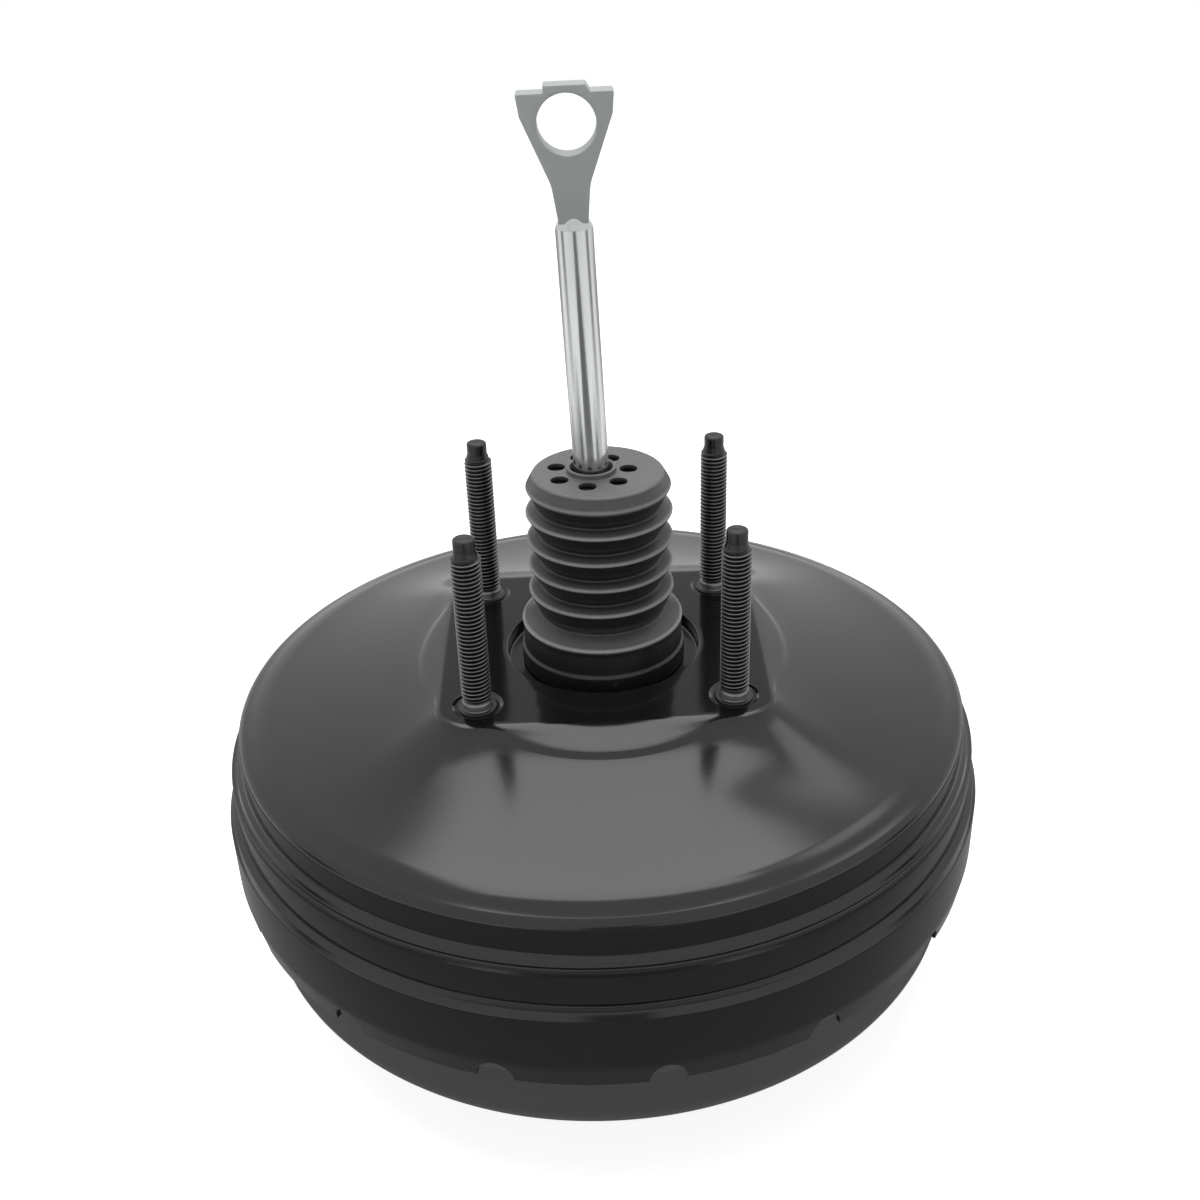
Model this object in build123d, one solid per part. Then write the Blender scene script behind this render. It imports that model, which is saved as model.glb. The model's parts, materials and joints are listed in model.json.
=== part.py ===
from build123d import *
from math import radians, tan
import os

# A tandem vacuum brake booster. Millimetres, Z along the pushrod towards the pedal.
# The origin is the middle of the firewall pad, on the plane that bears on the firewall.

# Firewall pad and its studs
PAD_X = 113.0
PAD_Y = 104.5
PAD_CORNER = 13.0
PAD_RAISE = 1.2
PAD_SIDE_HALF_TURN = 27.0
BOSS_R = 66.0
STUD_SPACING_X = 87.0
STUD_SPACING_Y = 78.5
STUD_D = 10.0
STUD_LENGTH = 62.6
STUD_POINT_D = 7.2
STUD_POINT_L = 6.4
STUD_CHAMFER = 1.0
STUD_COLLAR_D = 13.2
STUD_SHOULDER_D = 11.2
STUD_HEAD_D = 16.0
STUD_HEAD_T = 4.0
DIMPLE_D = 17.0
DIMPLE_T = 0.8
STUD_PLATE_T = 2.5
STUD_PLATE_MARGIN = 4.0

# Rear shell, pressed from sheet
SHEET = 1.8
SHELL_D = 276.0
DOME_INSET = 6.1
DOME_DROP = 15.4
RIM_ROUND = 3.2
WALL_H = 14.7
LEDGE_W = 4.0
BAND_H = 12.3
GROOVE_T = 0.8
GROOVE_H = 1.4
SHOULDER_H = 3.0
SKIRT_STEP = 3.0
SKIRT_H = 18.4
LIP_H = 8.4
LIP_CURL = 2.7
LIP_NOTCHES = 16
LIP_NOTCH_W = 10.0
LIP_NOTCH_H = 6.0
LIP_NOTCH_TURN = -84.0
SHEET_BEND = 1.6

# Moat and neck in the middle of the pad
MOAT_D = 68.8
MOAT_DEPTH = 5.0
NECK_D = 53.2
NECK_H = 8.0
NECK_HOLE_D = 39.0

# Front shell
FRONT_SHEET = 2.0
FRONT_WALL_INSET = 5.6
FRONT_TAPER = 0.7
FRONT_WALL_DROP = 3.0
FRONT_WALL_H = 28.0
FRONT_CORNER = 12.0
BOSS_FACE_D = 108.0
BOSS_FACE_H = 6.0
BOSS_SLOPE = 8.0
PILOT_D = 44.0
PILOT_L = 9.0
MC_STUD_PITCH = 82.6
MC_STUD_D = 8.0
MC_STUD_L = 26.0
MC_SHOULDER_D = 9.6
MC_HEAD_D = 14.0
MC_HEAD_T = 4.0
MC_PLATE_D = 100.0
MC_PLATE_T = 2.5

# Travel of the working parts
VALVE_TRAVEL = 3.0
SWIVEL = 1.0
ROD_LEAN = 1.9

# Centre plate and diaphragms
CENTRE_SHEET = 1.5
CENTRE_HOLE_GAP = 5.0
CENTRE_LAND_W = 6.65
CENTRE_CONE_W = 12.0
CENTRE_SINK = 19.3
CENTRE_WALL_H = 12.0
CENTRE_WALL_GAP = 1.0
SEAL_TAPER = 1.0
DIAPHRAGM_T = 1.8
DIAPHRAGM_HOLE_GAP = 4.0
REAR_BEAD_W = 3.5
REAR_BEAD_H = 5.9
FRONT_BEAD_W = 5.3
FRONT_BEAD_H = 7.3
PLATE_SHEET = 1.5
PLATE_GAP = 4.0
PLATE_FLAT_D = 84.0
PLATE_STEP = 2.7
FRONT_PLATE_STEP = 4.4

# Valve body
STEM_D = 37.0
STEM_TOP = 60.0
STEM_BORE_D = 31.0
CHAMBER_D = 25.0
CHAMBER_FLOOR = -8.0
SEAT_Z = 14.0
FLANGE_D = 72.0
FLANGE_TOP = -17.5
FLANGE_T = 3.8
HUB_D = 48.0
HUB_L = 46.7
NOSE_D = 42.0
NOSE_L = 4.0
DISC_POCKET_D = 26.0
DISC_POCKET_L = 16.0
PLUNGER_BORE_D = 16.0
VACUUM_HOLE_D = 2.4
VACUUM_HOLE_R = 14.5

# Plunger, key and reaction pieces
PLUNGER_HEAD_D = 20.0
PLUNGER_HEAD_TOP = 9.0
PLUNGER_HEAD_T = 13.0
PLUNGER_NECK_D = 10.0
BALL_D = 12.8
BALL_Z = 2.0
KEY_T = 4.0
KEY_Z = -30.0
KEY_W = 16.0
REACTION_T = 4.0
OUTPUT_HEAD_T = 4.0
OUTPUT_ROD_D = 10.0
OUTPUT_ROD_L = 37.0
OUTPUT_TIP_D = 7.0
OUTPUT_TIP_L = 4.0
CUP_T = 2.6
RETAINER_RING_D = 55.0
RETAINER_RING_T = 2.5

# Control valve pieces inside the stem
POPPET_LIP_D = 17.0
POPPET_T = 3.0
POPPET_L = 11.7
POPPET_WALL = 1.6
RETAINER_T = 3.8
RETAINER_HOLE_D = 19.0
ROD_SPRING_L = 15.6
ROD_SPRING_WIRE = 1.6
ROD_SPRING_TURNS = 4
POPPET_SPRING_WIRE = 1.0
POPPET_SPRING_TURNS = 3
FILTER_L = 8.9
FILTER_HOLE_D = 19.0
SILENCER_D = 38.0
SILENCER_T = 4.6

# Pushrod
ROD_D = 12.0
ROD_COLLAR_D = 14.4
ROD_COLLAR_L = 2.0
SEAT_D = 21.0
SEAT_T = 2.0
ROD_END = 150.2
ROD_CONE_L = 3.4
EYE_Z = 181.5
EYE_HOLE_D = 18.0
EYE_T = 8.4
EYE_NECK_W = 9.2
EYE_WAIST_W = 12.0
EYE_WAIST_DROP = 17.7
EYE_WAIST_ROUND = 15.0
EYE_EAR_LOW_W = 28.0
EYE_EAR_LOW = 2.7
EYE_EAR_W = 29.4
EYE_EAR_TOP = 9.1
EYE_TAB_W = 12.6
EYE_TAB_H = 2.1
EYE_TAB_SLANT = 1.3

# Dust boot
BOOT_WALL = 1.6
BOOT_WALL_LEAN = 0.35
BOOT_TOP = 67.0
BOOT_TOP_D = 45.0
BOOT_SHOULDER_H = 4.7
BOOT_CREST_D = 51.4
BOOT_VALLEY_D = 42.0
BOOT_FOLDS = 5
BOOT_PITCH = 9.6
BOOT_VALLEY_DROP = 7.6
BOOT_LAST_CREST_D = 57.4
BOOT_SKIRT_H = 11.9
BOOT_BEAD_D = 58.4
BOOT_BEAD_H = 2.4
BOOT_COLLAR_D = 17.0
BOOT_COLLAR_H = 2.0
BOOT_VENTS = 7
BOOT_VENT_D = 6.2
BOOT_VENT_R = 12.7
BOOT_VENT_TURN = 263.0

# Return spring
RETURN_WIRE = 3.4
RETURN_WIDE_R = 70.0
RETURN_NARROW_R = 32.0
RETURN_TURNS = 5

# Check valve on the front face
CHECK_INSET = 41.3
CHECK_TURN = 90.0
CHECK_HOLE_D = 22.0
CHECK_STEM_D = 13.0
CHECK_STEM_UP = 6.5
CHECK_FLANGE_D = 24.0
CHECK_FLANGE_T = 2.0
CHECK_CAN_D = 21.0
CHECK_CAN_H = 11.0
CHECK_CAN_WALL = 2.0
CHECK_INLET_D = 7.0
CHECK_DISC_D = 14.0
CHECK_DISC_T = 1.5
CHECK_LIFT = 1.5
CHECK_SPRING_WIRE = 0.8
CHECK_SPRING_R = 4.0
CHECK_SPRING_TURNS = 3
NIPPLE_D = 10.0
NIPPLE_BORE_D = 6.0
NIPPLE_REACH = 34.0
NIPPLE_L = 20.0
NIPPLE_COLLAR_D = 13.0
NIPPLE_ROUND = 0.8
GROMMET_D = 27.0
GROMMET_IN = 2.5
GROMMET_OUT = 3.0

# Facets of a coiled wire
COIL_STEPS = 16
COIL_SIDES = 8

# Clearances
FIT = 0.2
SLIDE = 0.3
PLAY = 0.4

# Places that follow from the sizes above
skirt_r = SHELL_D / 2 - SHEET / 2
band_r = skirt_r - SKIRT_STEP
wall_r = band_r - LEDGE_W
dome_r = wall_r - DOME_INSET
lip_end_r = skirt_r - LIP_CURL
dome_edge_z = -PAD_RAISE - DOME_DROP
rim_z = dome_edge_z - SHEET
ledge_z = rim_z - WALL_H
band_end_z = ledge_z - BAND_H
groove_z = band_end_z - GROOVE_H
skirt_z = groove_z - SHOULDER_H
lip_z = skirt_z - SKIRT_H
lip_end_z = lip_z - LIP_H

rear_bead_z = ledge_z - SHEET / 2 - SLIDE
centre_flange_z = rear_bead_z - REAR_BEAD_H - FIT - CENTRE_SHEET / 2
centre_disc_z = centre_flange_z - CENTRE_SINK
centre_seat_z = centre_flange_z - CENTRE_WALL_H
centre_wall_r = band_r - GROOVE_T - SHEET / 2 - CENTRE_SHEET / 2 - CENTRE_WALL_GAP
centre_hole_r = HUB_D / 2 + CENTRE_HOLE_GAP
centre_cone_r = centre_wall_r - CENTRE_LAND_W - CENTRE_CONE_W
plate_r = centre_cone_r - PLATE_GAP
diaphragm_hole_r = PLATE_FLAT_D / 2 + DIAPHRAGM_HOLE_GAP
crimp_inner_r = skirt_r - SHEET / 2
front_bead_z = centre_seat_z - CENTRE_SHEET / 2 - FIT
front_top_z = front_bead_z - FRONT_BEAD_H - FIT
front_flange_r = crimp_inner_r - SLIDE - FRONT_SHEET / 2
front_wall_r = front_flange_r - FRONT_WALL_INSET
check_r = front_wall_r - CHECK_INSET
front_lip_z = lip_z + SLIDE
front_wall_z = lip_end_z - FRONT_WALL_DROP
front_face_z = front_wall_z - FRONT_WALL_H
boss_face_z = front_face_z - BOSS_FACE_H
boss_r = BOSS_FACE_D / 2
pilot_r = PILOT_D / 2 + FRONT_SHEET / 2
face_inner_z = front_face_z + FRONT_SHEET / 2
boss_inner_z = boss_face_z + FRONT_SHEET / 2
boss_outer_z = boss_face_z - FRONT_SHEET / 2
face_outer_z = front_face_z - FRONT_SHEET / 2
mc_plate_z = boss_inner_z + MC_PLATE_T

moat_r = MOAT_D / 2 - SHEET / 2
moat_z = -MOAT_DEPTH - SHEET / 2
neck_r = NECK_D / 2 - SHEET / 2
neck_z = NECK_H - SHEET / 2
neck_inner_r = NECK_D / 2 - SHEET
stud_plate_z = -SHEET - STUD_PLATE_T

flange_z = FLANGE_TOP - FLANGE_T
hub_end_z = flange_z - HUB_L
nose_end_z = hub_end_z - NOSE_L
pocket_z = nose_end_z + DISC_POCKET_L
plunger_tip_z = pocket_z + VALVE_TRAVEL + PLAY
reaction_z = pocket_z - REACTION_T
output_head_z = reaction_z - OUTPUT_HEAD_T
output_tip_z = output_head_z - OUTPUT_ROD_L
rear_plate_z = flange_z - PLATE_SHEET / 2
front_plate_z = hub_end_z - PLATE_SHEET / 2
spring_top_z = hub_end_z - PLATE_SHEET - RETURN_WIRE / 2
spring_foot_z = face_inner_z + RETURN_WIRE / 2

poppet_top_z = SEAT_Z + FIT + POPPET_L
retainer_z = poppet_top_z + FIT
rod_spring_z = retainer_z + RETAINER_T
rod_spring_top_z = rod_spring_z + ROD_SPRING_L
seat_z = rod_spring_top_z
rod_collar_z = seat_z + SEAT_T
filter_z = STEM_TOP - FILTER_L - PLAY
silencer_z = STEM_TOP


def turned(points):
    """Solid turned about Z from (radius, height) corners."""
    section = make_face(Polyline(*points, close=True))
    return revolve(Plane.XZ * section, Axis.Z)


def pressed(points, bend, thickness):
    """Turned sheet of one thickness whose middle follows the (radius, height) points."""
    middle = FilletPolyline(*points, radius=bend)
    return revolve(Plane.XZ * trace(middle, thickness), Axis.Z)


def tube(outer_d, inner_d, low, high):
    """Plain ring about Z between two heights."""
    wall = Cylinder(outer_d / 2, high - low) - Cylinder(inner_d / 2, high - low)
    return Pos(0, 0, (low + high) / 2) * wall


def disc(diameter, low, high):
    """Plain round about Z between two heights."""
    return Pos(0, 0, (low + high) / 2) * Cylinder(diameter / 2, high - low)


def coil(low_r, high_r, low, high, turns, wire):
    """Coil spring about Z, straight or tapered, with its wire's middle between two heights."""
    count = turns * COIL_STEPS
    sections = []
    for index in range(count + 1):
        share = index / count
        outward = Vector(1, 0, 0).rotate(Axis.Z, 360 * turns * share)
        middle = outward * (low_r + (high_r - low_r) * share) + Vector(0, 0, low + (high - low) * share)
        across = Plane(origin=middle, x_dir=outward, z_dir=Vector(0, 0, 1).cross(outward))
        sections.append(across * RegularPolygon(wire / 2, COIL_SIDES))
    return loft(sections, ruled=True)


def stud_places():
    """Middles of the four firewall studs."""
    return GridLocations(STUD_SPACING_X, STUD_SPACING_Y, 2, 2)


def mc_stud_places():
    """Middles of the two master cylinder studs."""
    return GridLocations(MC_STUD_PITCH, 1, 2, 1)


def check_place():
    """Place of the check valve on the front face, with its nipple pointing outwards."""
    return Rot(0, 0, CHECK_TURN) * Pos(check_r, 0, 0)


def hill(inset):
    """Square-topped hill that runs out to a circle, with the round boss raised around the pad."""
    corner = PAD_CORNER - inset
    top = RectangleRounded(PAD_X - 2 * inset, PAD_Y - 2 * inset, corner)
    flank = loft([Pos(0, 0, -PAD_RAISE) * top, Pos(0, 0, dome_edge_z) * round_base()], ruled=True)
    foot = disc(2 * dome_r, dome_edge_z - 2 * SHEET, dome_edge_z)
    reach = extrude(Pos(0, 0, dome_edge_z) * (top + Circle(BOSS_R - inset)), DOME_DROP + 2 * PAD_RAISE)
    boss = (Pos(0, 0, PAD_RAISE) * flank) & reach
    return Pos(0, 0, -inset) * (flank + foot + boss)


def round_base():
    """Circle at the foot of the hill, in four flank arcs and four corner arcs."""
    turns = [side * 90 + step for side in range(4) for step in (-PAD_SIDE_HALF_TURN, PAD_SIDE_HALF_TURN)]
    ends = turns[1:] + [turns[0] + 360]
    arcs = [CenterArc((0, 0), dome_r, start, end - start) for start, end in zip(turns, ends)]
    return make_face(arcs)


def rear_shell():
    """Rear shell: pad, square-to-round hill, stepped rim and the notched lip that is rolled in."""
    sheet = hill(0) - hill(SHEET)
    sheet -= disc(MOAT_D + SHEET, -DOME_DROP, DOME_DROP)
    slope = DOME_DROP / (dome_r - PAD_Y / 2)
    rim = pressed(
        [
            (dome_r - SHEET, dome_edge_z - SHEET / 2 + slope * SHEET),
            (wall_r, dome_edge_z - SHEET / 2 - slope * (wall_r - dome_r)),
            (wall_r, ledge_z),
            (band_r, ledge_z),
            (band_r, band_end_z),
            (band_r - GROOVE_T, groove_z),
            (skirt_r, skirt_z),
            (skirt_r, lip_z),
            (lip_end_r, lip_end_z),
        ],
        [RIM_ROUND, SHEET_BEND, SHEET_BEND, SHEET_BEND / 2, SHEET_BEND / 2, SHEET_BEND, 2 * SHEET_BEND],
        SHEET,
    )
    neck = pressed(
        [
            (moat_r + 2 * SHEET, -SHEET / 2),
            (moat_r, -SHEET / 2),
            (moat_r, moat_z),
            (neck_r, moat_z),
            (neck_r, neck_z),
            (NECK_HOLE_D / 2, neck_z),
        ],
        SHEET_BEND,
        SHEET,
    )
    shell = sheet + rim + neck
    shell -= stud_places() * disc(STUD_SHOULDER_D + 2 * FIT, -2 * SHEET, SHEET)
    shell -= stud_places() * disc(DIMPLE_D, -DIMPLE_T, SHEET)
    return shell - lip_notches()


def lip_notches():
    """U-shaped relief notches round the rolled lip."""
    half = LIP_NOTCH_W / 2
    mouth = Pos(0, lip_end_z - half) * Rectangle(LIP_NOTCH_W, LIP_NOTCH_W)
    crown = Pos(0, lip_end_z) * Ellipse(half, LIP_NOTCH_H)
    notch = extrude(Plane.YZ * (mouth + crown), SHELL_D / 2 + SHEET)
    notch -= disc(2 * front_wall_r, lip_end_z - LIP_NOTCH_W, 0)
    step = 360 / LIP_NOTCHES
    return [Rot(0, 0, LIP_NOTCH_TURN + step * count) * notch for count in range(LIP_NOTCHES)]


def firewall_studs():
    """Four studs with a dog point, a collar on the pad and a flat head under the plate."""
    shank_r = STUD_D / 2
    thread_end = STUD_LENGTH - STUD_POINT_L
    stud = turned(
        [
            (0, stud_plate_z - STUD_HEAD_T),
            (STUD_HEAD_D / 2, stud_plate_z - STUD_HEAD_T),
            (STUD_HEAD_D / 2, stud_plate_z),
            (STUD_SHOULDER_D / 2, stud_plate_z),
            (STUD_SHOULDER_D / 2, -DIMPLE_T),
            (STUD_COLLAR_D / 2, -DIMPLE_T),
            (STUD_COLLAR_D / 2, -FIT),
            (shank_r, -FIT),
            (shank_r, thread_end - STUD_CHAMFER),
            (STUD_POINT_D / 2, thread_end),
            (STUD_POINT_D / 2, STUD_LENGTH),
            (0, STUD_LENGTH),
        ]
    )
    return stud_places() * stud


def rear_reinforcement_plate():
    """Plate under the pad that carries the four studs."""
    outline = RectangleRounded(
        PAD_X - 2 * STUD_PLATE_MARGIN, PAD_Y - 2 * STUD_PLATE_MARGIN, PAD_CORNER - STUD_PLATE_MARGIN
    )
    outline -= Circle(MOAT_D / 2 + SHEET)
    outline -= stud_places() * Circle(STUD_SHOULDER_D / 2 + FIT)
    return extrude(Pos(0, 0, stud_plate_z) * outline, STUD_PLATE_T)


def front_shell():
    """Front shell: flared mouth, wall, rounded corner and the stepped face with its pilot neck."""
    shell = pressed(
        [
            (front_flange_r, front_top_z),
            (front_flange_r, front_lip_z),
            (front_flange_r - LIP_CURL, front_lip_z - LIP_H),
            (front_wall_r, front_wall_z),
            (front_wall_r - FRONT_TAPER, front_face_z),
            (boss_r + BOSS_SLOPE, front_face_z),
            (boss_r, boss_face_z),
            (pilot_r, boss_face_z),
            (pilot_r, boss_face_z + PILOT_L),
        ],
        [2 * SHEET_BEND, SHEET_BEND, SHEET_BEND, FRONT_CORNER, 2 * SHEET_BEND, SHEET_BEND, SHEET_BEND],
        FRONT_SHEET,
    )
    shell -= mc_stud_places() * disc(MC_SHOULDER_D + 2 * FIT, boss_face_z - FRONT_SHEET, mc_plate_z)
    return shell - check_place() * disc(CHECK_HOLE_D, face_outer_z - FRONT_SHEET, 0)


def front_reinforcement_plate():
    """Plate inside the front shell that carries the master cylinder studs."""
    plate = tube(MC_PLATE_D, PILOT_D + 2 * FRONT_SHEET + 2 * SHEET_BEND, boss_inner_z, mc_plate_z)
    return plate - mc_stud_places() * disc(MC_SHOULDER_D + 2 * FIT, boss_face_z, mc_plate_z + MC_PLATE_T)


def master_cylinder_studs():
    """Two studs for the master cylinder, with heads on the inner plate."""
    tip_z = boss_outer_z - MC_STUD_L
    stud = disc(MC_HEAD_D, mc_plate_z, mc_plate_z + MC_HEAD_T)
    stud += disc(MC_SHOULDER_D, boss_outer_z, mc_plate_z)
    stud += chamfer(disc(MC_STUD_D, tip_z, boss_outer_z).edges().sort_by(Axis.Z)[0], STUD_CHAMFER)
    return mc_stud_places() * stud


def centre_plate():
    """Pressed plate that parts the two chambers and is clamped at the rim."""
    return pressed(
        [
            (centre_hole_r, centre_disc_z),
            (centre_cone_r, centre_disc_z),
            (centre_cone_r + CENTRE_CONE_W, centre_flange_z),
            (centre_wall_r, centre_flange_z),
            (centre_wall_r, centre_seat_z),
            (crimp_inner_r - 2 * SLIDE, centre_seat_z),
        ],
        [2 * SHEET_BEND, 2 * SHEET_BEND, SHEET_BEND, SHEET_BEND],
        CENTRE_SHEET,
    )


def divider_seal():
    """Lip seal that grips the centre plate and runs on the hub."""
    half = CENTRE_SHEET / 2
    body_r = centre_hole_r - FIT
    lip_r = HUB_D / 2 + SLIDE
    flange_r = centre_hole_r + 3 * CENTRE_SHEET
    above = centre_disc_z + half
    below = centre_disc_z - half
    return turned(
        [
            (lip_r, above + CENTRE_SHEET),
            (lip_r, below - 2 * CENTRE_SHEET),
            (body_r - SEAL_TAPER, below - 2 * CENTRE_SHEET),
            (body_r, below),
            (body_r, above),
            (flange_r, above),
            (flange_r, above + CENTRE_SHEET),
        ]
    )


def rear_diaphragm():
    """Rubber skin on the rear plate, with its bead under the rear shell's ledge."""
    flat_z = rear_plate_z - PLATE_STEP + PLATE_SHEET / 2 + FIT + DIAPHRAGM_T / 2
    bead_r = band_r - SHEET / 2 - SLIDE
    bead_mid = rear_bead_z - REAR_BEAD_H / 2
    skin = pressed(
        [
            (diaphragm_hole_r, flat_z),
            (plate_r + 2 * DIAPHRAGM_T, flat_z),
            (centre_cone_r + CENTRE_CONE_W - DIAPHRAGM_T, bead_mid),
            (bead_r - REAR_BEAD_W / 2, bead_mid),
        ],
        2 * SHEET_BEND,
        DIAPHRAGM_T,
    )
    bead = tube(2 * bead_r, 2 * (bead_r - REAR_BEAD_W), rear_bead_z - REAR_BEAD_H, rear_bead_z)
    return skin + bead


def front_diaphragm():
    """Rubber skin on the front plate, with its bead between centre plate and front shell."""
    flat_z = front_plate_z + FRONT_PLATE_STEP + PLATE_SHEET / 2 + FIT + DIAPHRAGM_T / 2
    bead_r = crimp_inner_r - 2 * SLIDE
    bead_mid = front_bead_z - FRONT_BEAD_H / 2
    fold_r = centre_cone_r + CENTRE_CONE_W / 2
    skin = pressed(
        [
            (diaphragm_hole_r, flat_z),
            (plate_r + 2 * DIAPHRAGM_T, flat_z),
            (fold_r, flat_z - 3 * DIAPHRAGM_T),
            (bead_r - FRONT_BEAD_W - DIAPHRAGM_T, bead_mid),
            (bead_r - FRONT_BEAD_W / 2, bead_mid),
        ],
        SHEET_BEND,
        DIAPHRAGM_T,
    )
    bead = tube(2 * bead_r, 2 * (bead_r - FRONT_BEAD_W), front_bead_z - FRONT_BEAD_H, front_bead_z)
    return skin + bead


def rear_diaphragm_plate():
    """Stepped plate behind the flange of the valve body."""
    return pressed(
        [
            (HUB_D / 2 + FIT, rear_plate_z),
            (PLATE_FLAT_D / 2, rear_plate_z),
            (PLATE_FLAT_D / 2 + PLATE_STEP, rear_plate_z - PLATE_STEP),
            (plate_r, rear_plate_z - PLATE_STEP),
            (plate_r, rear_plate_z - 2 * PLATE_STEP),
        ],
        SHEET_BEND / 2,
        PLATE_SHEET,
    )


def front_diaphragm_plate():
    """Dished plate on the nose of the valve body."""
    return pressed(
        [
            (NOSE_D / 2 + FIT, front_plate_z),
            (PLATE_FLAT_D / 2, front_plate_z),
            (PLATE_FLAT_D / 2 + FRONT_PLATE_STEP, front_plate_z + FRONT_PLATE_STEP),
            (plate_r, front_plate_z + FRONT_PLATE_STEP),
            (plate_r, front_plate_z + FRONT_PLATE_STEP - 2 * PLATE_STEP),
        ],
        SHEET_BEND / 2,
        PLATE_SHEET,
    )


def plate_retainer():
    """Push-on ring that holds the front plate against the hub."""
    low = hub_end_z - PLATE_SHEET - RETAINER_RING_T
    return tube(RETAINER_RING_D, NOSE_D + 2 * FIT, low, hub_end_z - PLATE_SHEET)


def neck_seal():
    """Lip seal between the neck and the sliding stem."""
    lip_r = STEM_D / 2 + SLIDE
    high = neck_z - SHEET / 2
    low = high - (NECK_H - MOAT_DEPTH / 2)
    return turned(
        [
            (lip_r, high - 2 * SHEET),
            (lip_r, low),
            (neck_inner_r, low),
            (neck_inner_r, high - SHEET_BEND),
            (neck_inner_r - SHEET_BEND, high),
            (lip_r + SHEET, high),
        ]
    )


def neck_bush():
    """Guide bush pressed into the neck under its seal."""
    high = neck_z - SHEET / 2 - (NECK_H - MOAT_DEPTH / 2)
    return tube(2 * neck_inner_r, STEM_D + 2 * SLIDE, moat_z - SHEET, high)


def valve_body():
    """Moulded valve body: stem, flange, hub and nose, bored for the plunger and control valve."""
    body = turned(
        [
            (STEM_BORE_D / 2, STEM_TOP),
            (STEM_D / 2, STEM_TOP),
            (STEM_D / 2, FLANGE_TOP),
            (FLANGE_D / 2, FLANGE_TOP),
            (FLANGE_D / 2, flange_z),
            (HUB_D / 2, flange_z),
            (HUB_D / 2, hub_end_z),
            (NOSE_D / 2, hub_end_z),
            (NOSE_D / 2, nose_end_z),
            (DISC_POCKET_D / 2, nose_end_z),
            (DISC_POCKET_D / 2, pocket_z),
            (PLUNGER_BORE_D / 2, pocket_z),
            (PLUNGER_BORE_D / 2, CHAMBER_FLOOR),
            (CHAMBER_D / 2, CHAMBER_FLOOR),
            (CHAMBER_D / 2, SEAT_Z),
            (STEM_BORE_D / 2, SEAT_Z),
        ]
    )
    slot_x = HUB_D / 2 + KEY_W
    slot = Box(slot_x, KEY_W + 2 * FIT, KEY_T + 2 * FIT, align=(Align.MIN, Align.CENTER, Align.CENTER))
    body -= Pos(-KEY_W / 2 - FIT, 0, KEY_Z) * slot
    for side in (-1, 1):
        body -= Pos(0, side * VACUUM_HOLE_R, 0) * disc(VACUUM_HOLE_D, nose_end_z - PLAY, SEAT_Z + PLAY)
    return body


def plunger_key():
    """Forked key through the hub that stops the plunger."""
    reach = ((HUB_D / 2) ** 2 - (KEY_W / 2) ** 2) ** 0.5 - FIT
    plate = Box(KEY_W / 2 + reach, KEY_W, KEY_T, align=(Align.MIN, Align.CENTER, Align.CENTER))
    gap = PLUNGER_NECK_D + 2 * SLIDE
    fork = Pos(-KEY_W / 2, 0, 0) * plate
    fork -= Cylinder(gap / 2, 2 * KEY_T)
    fork -= Pos(-KEY_W / 2, 0, 0) * Box(KEY_W, gap, 2 * KEY_T)
    return Pos(0, 0, KEY_Z) * fork


def valve_plunger():
    """Plunger with the ball socket in its head and a waist for the key."""
    stem_r = PLUNGER_BORE_D / 2 - SLIDE
    head_low = PLUNGER_HEAD_TOP - PLUNGER_HEAD_T
    waist_low = KEY_Z - KEY_T / 2 - SLIDE
    waist_high = KEY_Z + KEY_T / 2 + VALVE_TRAVEL + SLIDE
    socket_r = BALL_D / 2 + SLIDE
    plunger = turned(
        [
            (0, plunger_tip_z),
            (stem_r, plunger_tip_z),
            (stem_r, waist_low),
            (PLUNGER_NECK_D / 2, waist_low),
            (PLUNGER_NECK_D / 2, waist_high),
            (stem_r, waist_high),
            (stem_r, head_low),
            (PLUNGER_HEAD_D / 2, head_low),
            (PLUNGER_HEAD_D / 2, PLUNGER_HEAD_TOP),
            (0, PLUNGER_HEAD_TOP),
        ]
    )
    plunger -= Pos(0, 0, BALL_Z) * Sphere(socket_r)
    mouth = Pos(0, 0, BALL_Z) * Cone(ROD_D / 2 - PLAY, ROD_D / 2 + 2 * PLAY, 2 * PLUNGER_HEAD_TOP)
    return plunger - Pos(0, 0, PLUNGER_HEAD_TOP) * mouth


def reaction_disc():
    """Rubber disc between the plunger's end and the output rod."""
    return disc(DISC_POCKET_D - 2 * FIT, reaction_z, pocket_z)


def output_rod():
    """Headed rod that pushes on the master cylinder piston."""
    rod = disc(DISC_POCKET_D - 2 * FIT, output_head_z, reaction_z)
    rod += disc(OUTPUT_ROD_D, output_tip_z + OUTPUT_TIP_L, output_head_z)
    tip = disc(OUTPUT_TIP_D, output_tip_z, output_tip_z + OUTPUT_TIP_L)
    return rod + fillet(tip.edges().sort_by(Axis.Z)[0], OUTPUT_TIP_L / 3)


def output_rod_retainer():
    """Cap pressed into the nose that keeps the output rod's head in place."""
    return tube(DISC_POCKET_D - 2 * FIT, OUTPUT_ROD_D + 4 * FIT, output_head_z - CUP_T, output_head_z)


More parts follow.
